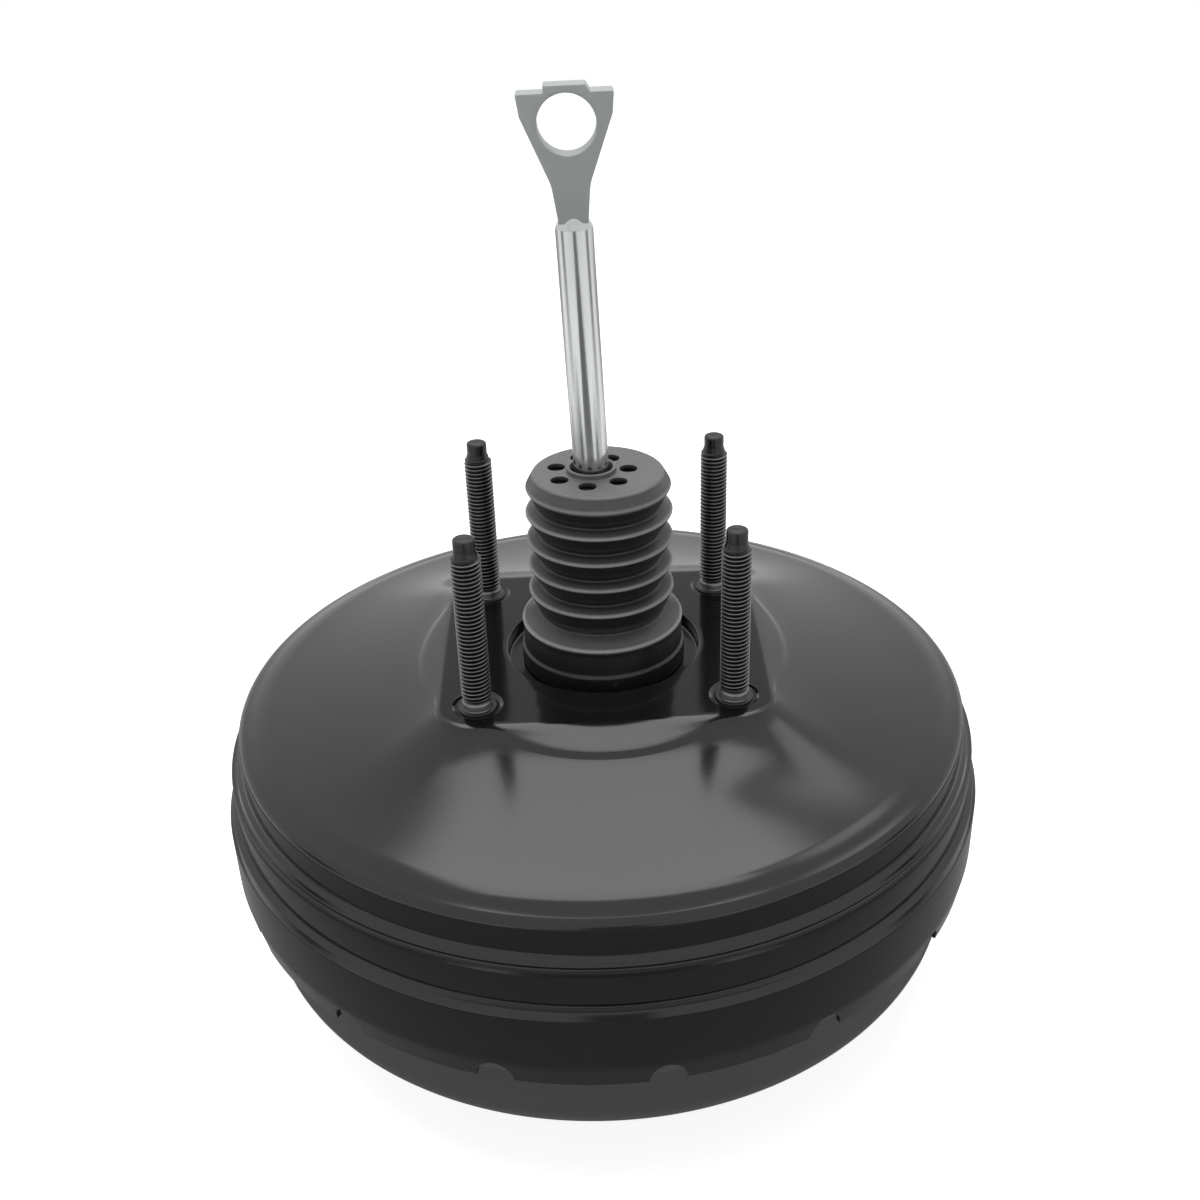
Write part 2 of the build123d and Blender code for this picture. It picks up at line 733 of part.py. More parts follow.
def poppet_valve():
    """Rubber poppet: sealing face, folded wall and clamped rim."""
    rim_r = STEM_BORE_D / 2 - FIT
    face_z = SEAT_Z + FIT
    wall_r = rim_r - POPPET_WALL
    return turned(
        [
            (POPPET_LIP_D / 2, face_z),
            (rim_r - 2 * FIT, face_z),
            (rim_r - 2 * FIT, face_z + POPPET_T),
            (wall_r, face_z + POPPET_T + POPPET_WALL),
            (rim_r, poppet_top_z - POPPET_WALL),
            (rim_r, poppet_top_z),
            (wall_r, poppet_top_z),
            (wall_r - POPPET_WALL, face_z + POPPET_T + POPPET_WALL),
            (POPPET_LIP_D / 2, face_z + POPPET_T),
        ]
    )


def poppet_spring():
    """Light spring that closes the poppet."""
    radius = POPPET_LIP_D / 2 + POPPET_SPRING_WIRE
    low = SEAT_Z + FIT + POPPET_T + 2 * POPPET_SPRING_WIRE
    return coil(radius, radius, low, retainer_z - POPPET_SPRING_WIRE, POPPET_SPRING_TURNS, POPPET_SPRING_WIRE)


def poppet_retainer():
    """Ring pressed into the stem that clamps the poppet's rim."""
    return tube(STEM_BORE_D - FIT, RETAINER_HOLE_D, retainer_z, retainer_z + RETAINER_T)


def rod_return_spring():
    """Tapered spring from the retainer to the seat on the pushrod."""
    half = ROD_SPRING_WIRE / 2
    wide = STEM_BORE_D / 2 - ROD_SPRING_WIRE
    narrow = SEAT_D / 2 - ROD_SPRING_WIRE
    low = rod_spring_z + half + FIT
    high = rod_spring_top_z - half - FIT
    return coil(wide, narrow, low, high, ROD_SPRING_TURNS, ROD_SPRING_WIRE)


def air_filter():
    """Foam ring in the mouth of the stem."""
    return tube(STEM_BORE_D - 2 * FIT, FILTER_HOLE_D, filter_z, filter_z + FILTER_L)


def air_silencer():
    """Felt disc on the stem's end, under the vents of the boot."""
    return tube(SILENCER_D, FILTER_HOLE_D, silencer_z, silencer_z + SILENCER_T)


def spring_seat():
    """Washer on the pushrod under its collar."""
    return rod_leant(tube(SEAT_D, ROD_D + FIT, seat_z, seat_z + SEAT_T))


def rod_leant(piece):
    """Piece of the rod, leant about the ball as the rod stands at rest."""
    return Pos(0, 0, BALL_Z) * Rot(0, -ROD_LEAN, 0) * Pos(0, 0, -BALL_Z) * piece


def eye_outline():
    """Outline of the flattened end: waist, flared ears and the low tab on top."""
    low = ROD_END + ROD_CONE_L / 2
    waist_z = EYE_Z - EYE_WAIST_DROP
    ear_low = EYE_Z + EYE_EAR_LOW
    ear_top = EYE_Z + EYE_EAR_TOP
    tab_z = ear_top + EYE_TAB_H
    neck, waist, tab = EYE_NECK_W / 2, EYE_WAIST_W / 2, EYE_TAB_W / 2
    flare, ear = EYE_EAR_LOW_W / 2, EYE_EAR_W / 2
    right = [(neck, low), (waist, waist_z), (flare, ear_low), (ear, ear_top)]
    top = [(tab + EYE_TAB_SLANT, ear_top), (tab, tab_z), (-tab, tab_z), (-tab, ear_top)]
    left = [(-across, height) for across, height in reversed(right)]
    outline = make_face(Polyline(*right, *top, *left, close=True))
    waists = outline.vertices().filter_by_position(Axis.Y, waist_z - FIT, waist_z + FIT)
    return fillet(waists, EYE_WAIST_ROUND)


def pushrod():
    """Pushrod: ball, shank, collar and the flattened end with the pedal pin's eye."""
    rod = turned(
        [
            (0, BALL_Z),
            (ROD_D / 2 - 2 * PLAY, BALL_Z),
            (ROD_D / 2 - 2 * PLAY, PLUNGER_HEAD_TOP + VALVE_TRAVEL),
            (ROD_D / 2, PLUNGER_HEAD_TOP + 2 * VALVE_TRAVEL),
            (ROD_D / 2, rod_collar_z),
            (ROD_COLLAR_D / 2, rod_collar_z),
            (ROD_COLLAR_D / 2, rod_collar_z + ROD_COLLAR_L),
            (ROD_D / 2, rod_collar_z + ROD_COLLAR_L),
            (ROD_D / 2, ROD_END),
            (EYE_T / 2, ROD_END + ROD_CONE_L),
            (0, ROD_END + ROD_CONE_L),
        ]
    )
    rod += Pos(0, 0, BALL_Z) * Sphere(BALL_D / 2)
    plate = extrude(Plane.XZ * eye_outline(), EYE_T / 2, both=True)
    hole = Pos(0, 0, EYE_Z) * Rot(90, 0, 0) * Cylinder(EYE_HOLE_D / 2, 2 * EYE_T)
    return rod_leant(rod + (plate - hole))


def boot_folds():
    """Crests and valleys of the boot's outside from the top fold down, as (radius, height)."""
    points = []
    for fold in range(BOOT_FOLDS):
        crest_z = BOOT_TOP - BOOT_SHOULDER_H - fold * BOOT_PITCH
        points += [(BOOT_CREST_D / 2, crest_z), (BOOT_VALLEY_D / 2, crest_z - BOOT_VALLEY_DROP)]
    return points


def dust_boot():
    """Rubber bellows from the neck to the stem's end, with a collar and vents round the rod."""
    wall = BOOT_WALL
    grip_r = NECK_D / 2 + FIT
    rod_up = BOOT_TOP + BOOT_COLLAR_H - BALL_Z
    bore_r = ROD_D / 2 + rod_up * tan(radians(SWIVEL)) + FIT
    outer = [(BOOT_TOP_D / 2, BOOT_TOP)] + boot_folds()
    inner = [(radius - wall, height - wall * BOOT_WALL_LEAN) for radius, height in boot_folds()]
    foot_z = -MOAT_DEPTH + PLAY
    profile = (
        [(0, BOOT_TOP - wall), (0, BOOT_TOP)]
        + outer
        + [(BOOT_LAST_CREST_D / 2, BOOT_SKIRT_H), (grip_r + wall, BOOT_SKIRT_H - wall)]
        + [(grip_r + wall, BOOT_BEAD_H), (BOOT_BEAD_D / 2, BOOT_BEAD_H), (BOOT_BEAD_D / 2, foot_z)]
        + [(grip_r, foot_z), (grip_r, BOOT_SKIRT_H - wall)]
        + inner[::-1]
        + [(BOOT_TOP_D / 2 - wall, BOOT_TOP - wall)]
    )
    boot = turned(profile)
    rod_place = Pos(-rod_up * tan(radians(ROD_LEAN)), 0, 0)
    boot += rod_place * disc(BOOT_COLLAR_D, BOOT_TOP - wall, BOOT_TOP + BOOT_COLLAR_H)
    boot -= rod_place * disc(2 * bore_r, BOOT_TOP - 2 * wall, BOOT_TOP + 2 * BOOT_COLLAR_H)
    step = 360 / BOOT_VENTS
    for count in range(BOOT_VENTS):
        vent = Pos(BOOT_VENT_R, 0, 0) * disc(BOOT_VENT_D, BOOT_TOP - 2 * wall, BOOT_TOP + wall)
        boot -= rod_place * Rot(0, 0, BOOT_VENT_TURN + step * count) * vent
    return boot


def return_spring():
    """Tapered spring that brings the power piston back."""
    return coil(RETURN_WIDE_R, RETURN_NARROW_R, spring_foot_z, spring_top_z, RETURN_TURNS, RETURN_WIRE)


def check_valve_body():
    """Check valve: stem through the grommet, round can and a plain nipple for the vacuum hose."""
    flange_high = face_outer_z - GROMMET_OUT
    can_high = flange_high - CHECK_FLANGE_T
    can_low = can_high - CHECK_CAN_H
    chamber_high = can_high - CHECK_CAN_WALL / 2
    chamber_low = can_low + CHECK_CAN_WALL
    stem_high = face_outer_z + CHECK_STEM_UP
    chamber_d = CHECK_CAN_D - 2 * CHECK_CAN_WALL
    body = disc(CHECK_STEM_D, flange_high, stem_high)
    body += disc(CHECK_FLANGE_D, can_high, flange_high)
    body += disc(CHECK_CAN_D, can_low, can_high)
    middle = Pos(0, 0, (chamber_low + chamber_high) / 2 - CHECK_LIFT / 2) * Rot(0, 90, 0)
    body += middle * nipple()
    body -= disc(chamber_d, chamber_low, chamber_high)
    body -= disc(CHECK_INLET_D, chamber_low, stem_high + FIT)
    bore = disc(NIPPLE_BORE_D, 0, 2 * NIPPLE_REACH)
    return check_place() * (body - middle * bore)


def nipple():
    """Hose nipple along local Z: a plain spigot with a rounded end, on a thicker root."""
    root = disc(NIPPLE_COLLAR_D, 0, NIPPLE_REACH - NIPPLE_L)
    spigot = disc(NIPPLE_D, 0, NIPPLE_REACH)
    return root + fillet(spigot.edges().sort_by(Axis.Z)[-1], NIPPLE_ROUND)


def check_valve_grommet():
    """Rubber grommet that holds the check valve in the front face."""
    high = face_inner_z
    low = face_outer_z
    bore_r = CHECK_STEM_D / 2 + FIT
    groove_r = CHECK_HOLE_D / 2 - FIT
    ring = turned(
        [
            (bore_r, low - GROMMET_OUT),
            (GROMMET_D / 2, low - GROMMET_OUT),
            (GROMMET_D / 2, low),
            (groove_r, low),
            (groove_r, high),
            (GROMMET_D / 2, high),
            (GROMMET_D / 2 - GROMMET_IN / 2, high + GROMMET_IN),
            (bore_r, high + GROMMET_IN),
        ]
    )
    return check_place() * ring


def check_disc_top():
    """Height of the check valve's disc when it is shut."""
    return face_outer_z - GROMMET_OUT - CHECK_FLANGE_T - CHECK_CAN_WALL / 2 - FIT


def check_valve_disc():
    """Rubber disc that shuts the check valve."""
    return check_place() * disc(CHECK_DISC_D, check_disc_top() - CHECK_DISC_T, check_disc_top())


def check_valve_spring():
    """Light spring under the check valve's disc."""
    half = CHECK_SPRING_WIRE / 2
    low = face_outer_z - GROMMET_OUT - CHECK_FLANGE_T - CHECK_CAN_H + CHECK_CAN_WALL + half + FIT
    high = check_disc_top() - CHECK_DISC_T - half - FIT
    spring = coil(CHECK_SPRING_R, CHECK_SPRING_R, low, high, CHECK_SPRING_TURNS, CHECK_SPRING_WIRE)
    return check_place() * spring


PIECES = (
    rear_shell,
    firewall_studs,
    rear_reinforcement_plate,
    front_shell,
    front_reinforcement_plate,
    master_cylinder_studs,
    centre_plate,
    divider_seal,
    rear_diaphragm,
    front_diaphragm,
    rear_diaphragm_plate,
    front_diaphragm_plate,
    plate_retainer,
    neck_seal,
    neck_bush,
    valve_body,
    plunger_key,
    valve_plunger,
    reaction_disc,
    output_rod,
    output_rod_retainer,
    poppet_valve,
    poppet_spring,
    poppet_retainer,
    rod_return_spring,
    air_filter,
    air_silencer,
    spring_seat,
    pushrod,
    dust_boot,
    return_spring,
    check_valve_body,
    check_valve_grommet,
    check_valve_disc,
    check_valve_spring,
)

os.makedirs("parts", exist_ok=True)
for piece in PIECES:
    made = piece()
    items = made if isinstance(made, list) else [made]
    solids = [solid for item in items for solid in item.solids()]
    export_step(Compound(children=solids), f"parts/{piece.__name__}.step")
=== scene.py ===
"""Dressed model of a tandem vacuum brake booster, in metres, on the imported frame."""

from __future__ import annotations

import json
import logging
import math
from collections.abc import Callable, Sequence
from dataclasses import dataclass, field
from enum import Enum

import bmesh
import bpy
from mathutils import Matrix, Vector

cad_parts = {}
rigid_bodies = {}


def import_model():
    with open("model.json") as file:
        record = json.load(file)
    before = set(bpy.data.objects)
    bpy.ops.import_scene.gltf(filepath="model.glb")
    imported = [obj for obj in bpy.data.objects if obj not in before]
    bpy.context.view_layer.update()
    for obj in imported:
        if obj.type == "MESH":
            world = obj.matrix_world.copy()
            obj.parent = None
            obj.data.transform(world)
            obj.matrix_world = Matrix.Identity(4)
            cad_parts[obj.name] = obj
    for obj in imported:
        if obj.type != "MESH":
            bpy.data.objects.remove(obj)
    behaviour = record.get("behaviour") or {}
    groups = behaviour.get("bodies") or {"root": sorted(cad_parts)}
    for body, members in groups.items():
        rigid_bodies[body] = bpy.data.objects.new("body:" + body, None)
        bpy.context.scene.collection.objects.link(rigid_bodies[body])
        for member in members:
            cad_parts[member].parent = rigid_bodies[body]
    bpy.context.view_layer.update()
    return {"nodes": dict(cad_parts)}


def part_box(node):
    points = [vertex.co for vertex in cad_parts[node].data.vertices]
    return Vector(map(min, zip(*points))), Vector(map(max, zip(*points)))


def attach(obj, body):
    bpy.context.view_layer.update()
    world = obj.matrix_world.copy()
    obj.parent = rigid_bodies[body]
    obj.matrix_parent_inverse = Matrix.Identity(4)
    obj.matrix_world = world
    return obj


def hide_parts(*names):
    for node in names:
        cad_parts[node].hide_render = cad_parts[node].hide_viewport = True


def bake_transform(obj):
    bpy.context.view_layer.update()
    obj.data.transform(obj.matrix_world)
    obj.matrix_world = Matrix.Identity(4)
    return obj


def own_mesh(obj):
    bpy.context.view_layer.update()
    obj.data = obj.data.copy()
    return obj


LOG = logging.getLogger("brake_booster")
MM = 0.001
TURN = 2 * math.pi
STUD_HALF = (43.5, 39.25)
FRONT_STUD_X = 41.3
VALVE_PLACE = (0.0, 88.0)

Point = tuple[float, float]
Colour = tuple[float, float, float]
Object = bpy.types.Object
Tree = bpy.types.NodeTree
Node = bpy.types.Node
Socket = bpy.types.NodeSocket
Feed = Socket | float | tuple[float, ...]
BMesh = bmesh.types.BMesh
BMVert = bmesh.types.BMVert
BMEdge = bmesh.types.BMEdge


class Body(str, Enum):
    """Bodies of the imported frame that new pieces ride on."""

    HOUSING = "housing"
    PISTON = "power_piston"
    PUSHROD = "pushrod"


@dataclass(frozen=True)
class Corner:
    """One corner of a turned profile, in millimetres."""

    radius: float
    height: float
    bend: float = 0.0
    steps: int = 6


def connect(tree: Tree, node: Node, feeds: dict[str | int, Feed]) -> None:
    """Set a node's inputs to constants or link them to sockets.

    Args:
        tree: Node tree of the node.
        node: Node whose inputs are set.
        feeds: Constant or socket for each input, by name or number.
    """
    for name, feed in feeds.items():
        if isinstance(feed, Socket):
            tree.links.new(feed, node.inputs[name])
        else:
            node.inputs[name].default_value = feed


def add_node(tree: Tree, kind: str, feeds: dict[str | int, Feed], **settings: str) -> Node:
    """Add a shader node with its settings and inputs.

    Args:
        tree: Node tree to add to.
        kind: Type of the node, without the prefix that all share.
        feeds: Constant or socket for each input, by name or number.
        settings: Properties of the node, which are set before its inputs.

    Returns:
        The new node.
    """
    made = tree.nodes.new(f"ShaderNode{kind}")
    for name, value in settings.items():
        setattr(made, name, value)
    connect(tree, made, feeds)
    return made


def noise(tree: Tree, place: Socket, scale: float, detail: float) -> Socket:
    """Noise at a scale per metre, with its octaves."""
    return add_node(tree, "TexNoise", {"Vector": place, "Scale": scale, "Detail": detail}).outputs["Fac"]


def mix_colour(tree: Tree, share: Socket, low: Socket | Colour, high: Colour) -> Socket:
    """Mix two colours by a share of the second."""
    first = (*low, 1.0) if isinstance(low, tuple) else low
    return add_node(tree, "Mix", {"Factor": share, 6: first, 7: (*high, 1.0)}, data_type="RGBA").outputs[2]


def mix_value(tree: Tree, share: Socket, low: Socket, high: float) -> Socket:
    """Mix a value towards a number by a share."""
    feeds = {"Factor": share, "A": low, "B": high}
    return add_node(tree, "Mix", feeds, data_type="FLOAT").outputs["Result"]


def map_range(tree: Tree, value: Socket, span: Point, low: float = 0.3, high: float = 0.7) -> Socket:
    """Map a value between low and high to a span."""
    feeds = {"Value": value, "From Min": low, "From Max": high, "To Min": span[0], "To Max": span[1]}
    return add_node(tree, "MapRange", feeds).outputs["Result"]


def math_node(tree: Tree, operation: str, *values: Feed) -> Socket:
    """One step of arithmetic on sockets and numbers."""
    return add_node(tree, "Math", dict(enumerate(values)), operation=operation).outputs["Value"]


def bare_material(name: str) -> bpy.types.Material:
    """Make a material with an empty node tree.

    Args:
        name: Name of the material.

    Returns:
        The new material.
    """
    made = bpy.data.materials.new(name)
    made.use_nodes = True
    made.node_tree.nodes.clear()
    return made


@dataclass(frozen=True)
class Finish:
    """A procedural finish, read from Object coordinates and, where named, an attribute of wear and painted
    light.
    """

    name: str
    base: Colour
    shade: Colour
    roughness: Point
    metallic: float = 0.0
    patch_scale: float = 40.0
    stretch: Colour = (1.0, 1.0, 1.0)
    grain_scale: float = 900.0
    grain_height: float = 0.00002
    dust: Colour = (0.25, 0.24, 0.22)
    dust_amount: float = 0.0
    dust_scale: float = 260.0
    dust_roughness: float = 0.6
    drift_scale: float = 14.0
    # Colour of the attribute's mark: real wear on the studs, a painted highlight and painted light on the
    # boot.
    wear_and_painted_light: Colour | None = None
    wear_and_painted_light_metallic: float = 0.0
    wear_and_painted_light_roughness: float = 0.4
    wear_and_painted_light_scale: float = 420.0

    def material(self) -> bpy.types.Material:
        """Make the material, or hand back the one that is made already.

        Returns:
            The Blender material of this finish.
        """
        label = f"{self.name}_finish"
        made = bpy.data.materials.get(label)
        if made is None:
            made = bpy.data.materials.new(label)
            made.use_nodes = True
            self._dress(made.node_tree)
        return made

    def _dress(self, tree: Tree) -> None:
        """Lay out the nodes: patches of shade, dust, wear and painted light, roughness and grain.

        Args:
            tree: Node tree of the new material.
        """
        place = add_node(tree, "TexCoord", {}).outputs["Object"]
        stretched = add_node(tree, "Mapping", {"Vector": place, "Scale": self.stretch}).outputs["Vector"]
        patches = noise(tree, stretched, self.patch_scale, 5.0)
        colour = mix_colour(tree, patches, self.base, self.shade)
        rough = map_range(tree, patches, self.roughness)
        metal: Feed = self.metallic
        if self.dust_amount > 0:
            specks = self._specks(tree, place)
            colour = mix_colour(tree, specks, colour, self.dust)
            rough = mix_value(tree, specks, rough, self.dust_roughness)
        # The attribute's mark: wear on the studs, a painted highlight and painted light on the boot.
        if self.wear_and_painted_light is not None:
            worn_and_painted_light = self._worn_and_painted_light(tree, place)
            colour = mix_colour(tree, worn_and_painted_light, colour, self.wear_and_painted_light)
            rough = mix_value(tree, worn_and_painted_light, rough, self.wear_and_painted_light_roughness)
            metal = map_range(tree, worn_and_painted_light, (self.metallic, self.wear_and_painted_light_metallic), 0.0, 1.0)
        grain = noise(tree, stretched, self.grain_scale, 3.0)
        bump = add_node(tree, "Bump", {"Strength": 1.0, "Distance": self.grain_height, "Height": grain})
        feeds = {"Base Color": colour, "Roughness": rough, "Metallic": metal}
        feeds["Normal"] = bump.outputs["Normal"]
        connect(tree, tree.nodes["Principled BSDF"], feeds)

    def _specks(self, tree: Tree, place: Socket) -> Socket:
        """Fine specks of dust, thicker in some places than in others.

        Args:
            tree: Node tree to add to.
            place: Coordinates that the specks read.

        Returns:
            Share of dust as a value socket.
        """
        fine = noise(tree, place, self.dust_scale, 2.0)
        peak = map_range(tree, fine, (0.0, self.dust_amount), 0.66, 0.74)
        drift = noise(tree, place, self.drift_scale, 2.0)
        return math_node(tree, "MULTIPLY", peak, map_range(tree, drift, (0.0, 1.0), 0.45, 0.7))

    def _worn_and_painted_light(self, tree: Tree, place: Socket) -> Socket:
        """Wear, and on the boot a painted highlight and painted light, from the piece's own attribute,
        broken up by noise.

        Args:
            tree: Node tree to add to.
            place: Coordinates that the noise reads.

        Returns:
            Share of wear and painted light as a value socket.
        """
        mark = add_node(tree, "Attribute", {}, attribute_name="wear_and_painted_light").outputs["Fac"]
        broken = noise(tree, place, self.wear_and_painted_light_scale, 3.0)
        return math_node(tree, "MULTIPLY", mark, map_range(tree, broken, (0.9, 1.0), 0.38, 0.62))


class Finishes(Enum):
    """The finishes of the booster."""

    BLACK_PAINT = Finish(
        "black_paint", (0.006, 0.0063, 0.0066), (0.009, 0.0093, 0.0095), (0.1, 0.14),
        patch_scale=22.0, grain_scale=420.0, grain_height=0.000006, dust_amount=0.08,
    )
    SATIN_PAINT = Finish(
        "satin_paint", (0.085, 0.086, 0.083), (0.1, 0.101, 0.098), (0.42, 0.52),
        patch_scale=30.0, grain_scale=900.0, grain_height=0.00002,
    )
    BLACK_OXIDE = Finish(
        "black_oxide", (0.006, 0.006, 0.0062), (0.011, 0.011, 0.011), (0.28, 0.42), patch_scale=160.0,
        grain_scale=1500.0, wear_and_painted_light=(0.36, 0.36, 0.36), wear_and_painted_light_metallic=1.0, wear_and_painted_light_roughness=0.3,
    )
    ROD_STEEL = Finish(
        "rod_steel", (0.58, 0.59, 0.59), (0.42, 0.43, 0.435), (0.12, 0.22), metallic=1.0, patch_scale=420.0,
        stretch=(1.0, 1.0, 0.05), grain_scale=2600.0, grain_height=0.00001,
    )
    EYE_STEEL = Finish(
        "eye_steel", (0.48, 0.51, 0.51), (0.41, 0.436, 0.434), (0.4, 0.55), metallic=0.3, patch_scale=120.0,
        grain_scale=1400.0, grain_height=0.00003, dust=(0.4, 0.41, 0.4), dust_amount=0.4, dust_scale=600.0,
    )
    # Its mark colour is a painted highlight on the crests and painted light on the upper sides and the top;
    # the pale specks are dust.
    BOOT_RUBBER = Finish(
        "boot_rubber", (0.011, 0.011, 0.0112), (0.015, 0.015, 0.015), (0.38, 0.46), patch_scale=70.0,
        grain_scale=1800.0, grain_height=0.00003, dust=(0.16, 0.16, 0.155), dust_amount=0.3,
        dust_scale=420.0, wear_and_painted_light=(0.34, 0.34, 0.336),
    )
    INNER_STEEL = Finish(
        "inner_steel", (0.42, 0.4, 0.34), (0.3, 0.285, 0.25), (0.3, 0.48), metallic=1.0, patch_scale=60.0,
        grain_scale=1200.0,
    )
    SPRING_STEEL = Finish(
        "spring_steel", (0.12, 0.12, 0.125), (0.2, 0.2, 0.205), (0.3, 0.42), metallic=1.0,
        patch_scale=150.0, grain_scale=1800.0,
    )
    SEAL_RUBBER = Finish(
        "seal_rubber", (0.012, 0.012, 0.012), (0.022, 0.022, 0.022), (0.5, 0.66), patch_scale=90.0,
        grain_scale=1600.0, grain_height=0.00003,
    )
    MOULDED_RESIN = Finish(
        "moulded_resin", (0.05, 0.042, 0.034), (0.08, 0.066, 0.052), (0.38, 0.55), patch_scale=80.0,
        grain_scale=1500.0, grain_height=0.00003,
    )
    PLUNGER_ALLOY = Finish(
        "plunger_alloy", (0.6, 0.6, 0.61), (0.48, 0.48, 0.49), (0.24, 0.36), metallic=1.0,
        patch_scale=200.0, stretch=(1.0, 1.0, 6.0), grain_scale=1400.0,
    )
    BLACK_PLASTIC = Finish(
        "black_plastic", (0.016, 0.016, 0.017), (0.028, 0.028, 0.029), (0.35, 0.5), patch_scale=110.0,
        grain_scale=1700.0, grain_height=0.00004,
    )
    FILTER_FOAM = Finish(
        "filter_foam", (0.1, 0.095, 0.085), (0.03, 0.029, 0.027), (0.85, 0.98), patch_scale=900.0,
        grain_scale=1100.0, grain_height=0.0004,
    )


NODE_FINISHES: dict[Finishes, tuple[str, ...]] = {
    Finishes.INNER_STEEL: (
        "rear_reinforcement_plate", "front_reinforcement_plate", "centre_plate", "rear_diaphragm_plate",
        "front_diaphragm_plate", "plate_retainer", "plunger_key", "output_rod", "output_rod_retainer",
        "poppet_retainer", "spring_seat",
    ),
    Finishes.SEAL_RUBBER: (
        "divider_seal", "neck_seal", "reaction_disc", "poppet_valve", "check_valve_grommet",
        "check_valve_disc",
    ),
    Finishes.MOULDED_RESIN: ("valve_body", "neck_bush"),
    Finishes.PLUNGER_ALLOY: ("valve_plunger",),
    Finishes.FILTER_FOAM: ("air_filter", "air_silencer"),
}


def rounded_path(corners: Sequence[Corner], closed: bool = False) -> list[Point]:
    """Points along a profile whose corners are rounded by arcs.

    Args:
        corners: Corners in order.
        closed: Whether the last corner joins the first.

    Returns:
        Points as (radius, height) in millimetres.
    """
    points: list[Point] = []
    count = len(corners)
    for index, corner in enumerate(corners):
        middle = Vector((corner.radius, corner.height))
        if corner.bend <= 0 or (not closed and index in (0, count - 1)):
            points.append((middle.x, middle.y))
            continue
        before = corners[index - 1]
        after = corners[(index + 1) % count]
        back = Vector((before.radius, before.height)) - middle
        ahead = Vector((after.radius, after.height)) - middle
        points.extend(corner_arc(middle, back, ahead, corner))
    return points


def corner_arc(middle: Vector, back: Vector, ahead: Vector, corner: Corner) -> list[Point]:
    """Arc that rounds one corner.

    Args:
        middle: The corner itself.
        back: Way to the corner before.
        ahead: Way to the corner after.
        corner: Corner with its bend and steps.

    Returns:
        Points of the arc, first and last on the straight runs.
    """
    half = back.angle(ahead) / 2
    reach = min(corner.bend / math.tan(half), 0.49 * back.length, 0.49 * ahead.length)
    bend = reach * math.tan(half)
    inward = (back.normalized() + ahead.normalized()).normalized()
    centre = middle + inward * (bend / math.sin(half))
    start = middle + back.normalized() * reach - centre
    sweep = start.angle_signed(middle + ahead.normalized() * reach - centre)
    points = []
    for step in range(corner.steps + 1):
        spoke = Matrix.Rotation(-sweep * step / corner.steps, 2) @ start
        points.append((centre.x + spoke.x, centre.y + spoke.y))
    return points


def close_steps(points: Sequence[Point], longest: float) -> list[Point]:
    """Closed profile with no run longer than a step, so that wear can change along it.

    Args:
        points: Points of the closed profile.
        longest: Longest run that is left.

    Returns:
        The points with others between them.
    """
    filled: list[Point] = []
    for start, end in zip(points, [*points[1:], points[0]]):
        parts = max(1, math.ceil(math.dist(start, end) / longest))
        for part in range(parts):
            share = part / parts
            filled.append((start[0] + (end[0] - start[0]) * share, start[1] + (end[1] - start[1]) * share))
    return filled


def along(points: Sequence[Point], distance: float) -> Point:
    """Point at a distance along a path.

    Args:
        points: Points of the path.
        distance: Distance from its start.

    Returns:
        The point as (radius, height).
    """
    left = distance
    for start, end in zip(points, points[1:]):
        run = math.dist(start, end)
        if left <= run:
            share = left / run if run else 0.0
            return (start[0] + (end[0] - start[0]) * share, start[1] + (end[1] - start[1]) * share)
        left -= run
    return points[-1]


def path_length(points: Sequence[Point]) -> float:
    """Length of a path of points."""
    return sum(math.dist(start, end) for start, end in zip(points, points[1:]))


def smooth_step(value: float) -> float:
    """Smooth ramp from 0 to 1."""
    held = min(max(value, 0.0), 1.0)
    return held * held * (3 - 2 * held)


def edges_among(verts: Sequence[BMVert]) -> list[BMEdge]:
    """Edges with both ends among some vertices, in a fixed order."""
    among = set(verts)
    found = (edge for vert in verts for edge in vert.link_edges if edge.other_vert(vert) in among)
    return list(dict.fromkeys(found))


def lathe(mesh: BMesh, points: Sequence[Point], steps: int, closed: bool = False) -> list[BMVert]:
    """Turn a profile about Z with the spin operator.

    Args:
        mesh: Mesh to add to, in millimetres.
        points: Profile as (radius, height).
        steps: Steps round the full turn.
        closed: Whether the profile is a loop.

    Returns:
        The vertices that were made.
    """
    kept = set(mesh.verts)
    verts = [mesh.verts.new((radius, 0.0, height)) for radius, height in points]
    pairs = list(zip(verts, verts[1:])) + ([(verts[-1], verts[0])] if closed else [])
    edges = [mesh.edges.new(pair) for pair in pairs]
    bmesh.ops.spin(
        mesh, geom=verts + edges, cent=(0, 0, 0), axis=(0, 0, 1), angle=TURN, steps=steps, use_merge=True,
        use_duplicate=False,
    )
    bmesh.ops.remove_doubles(mesh, verts=[vert for vert in mesh.verts if vert not in kept], dist=1e-5)
    return [vert for vert in mesh.verts if vert not in kept]


def helix(mesh: BMesh, seed: list[BMVert | BMEdge], turns: float, rise: float, steps: int) -> None:
    """Sweep a seed profile up a helix about Z with the spin operator."""
    bmesh.ops.spin(
        mesh, geom=seed, cent=(0, 0, 0), axis=(0, 0, 1), dvec=(0, 0, rise / steps), angle=TURN * turns,
        steps=steps, use_merge=False, use_duplicate=False,
    )


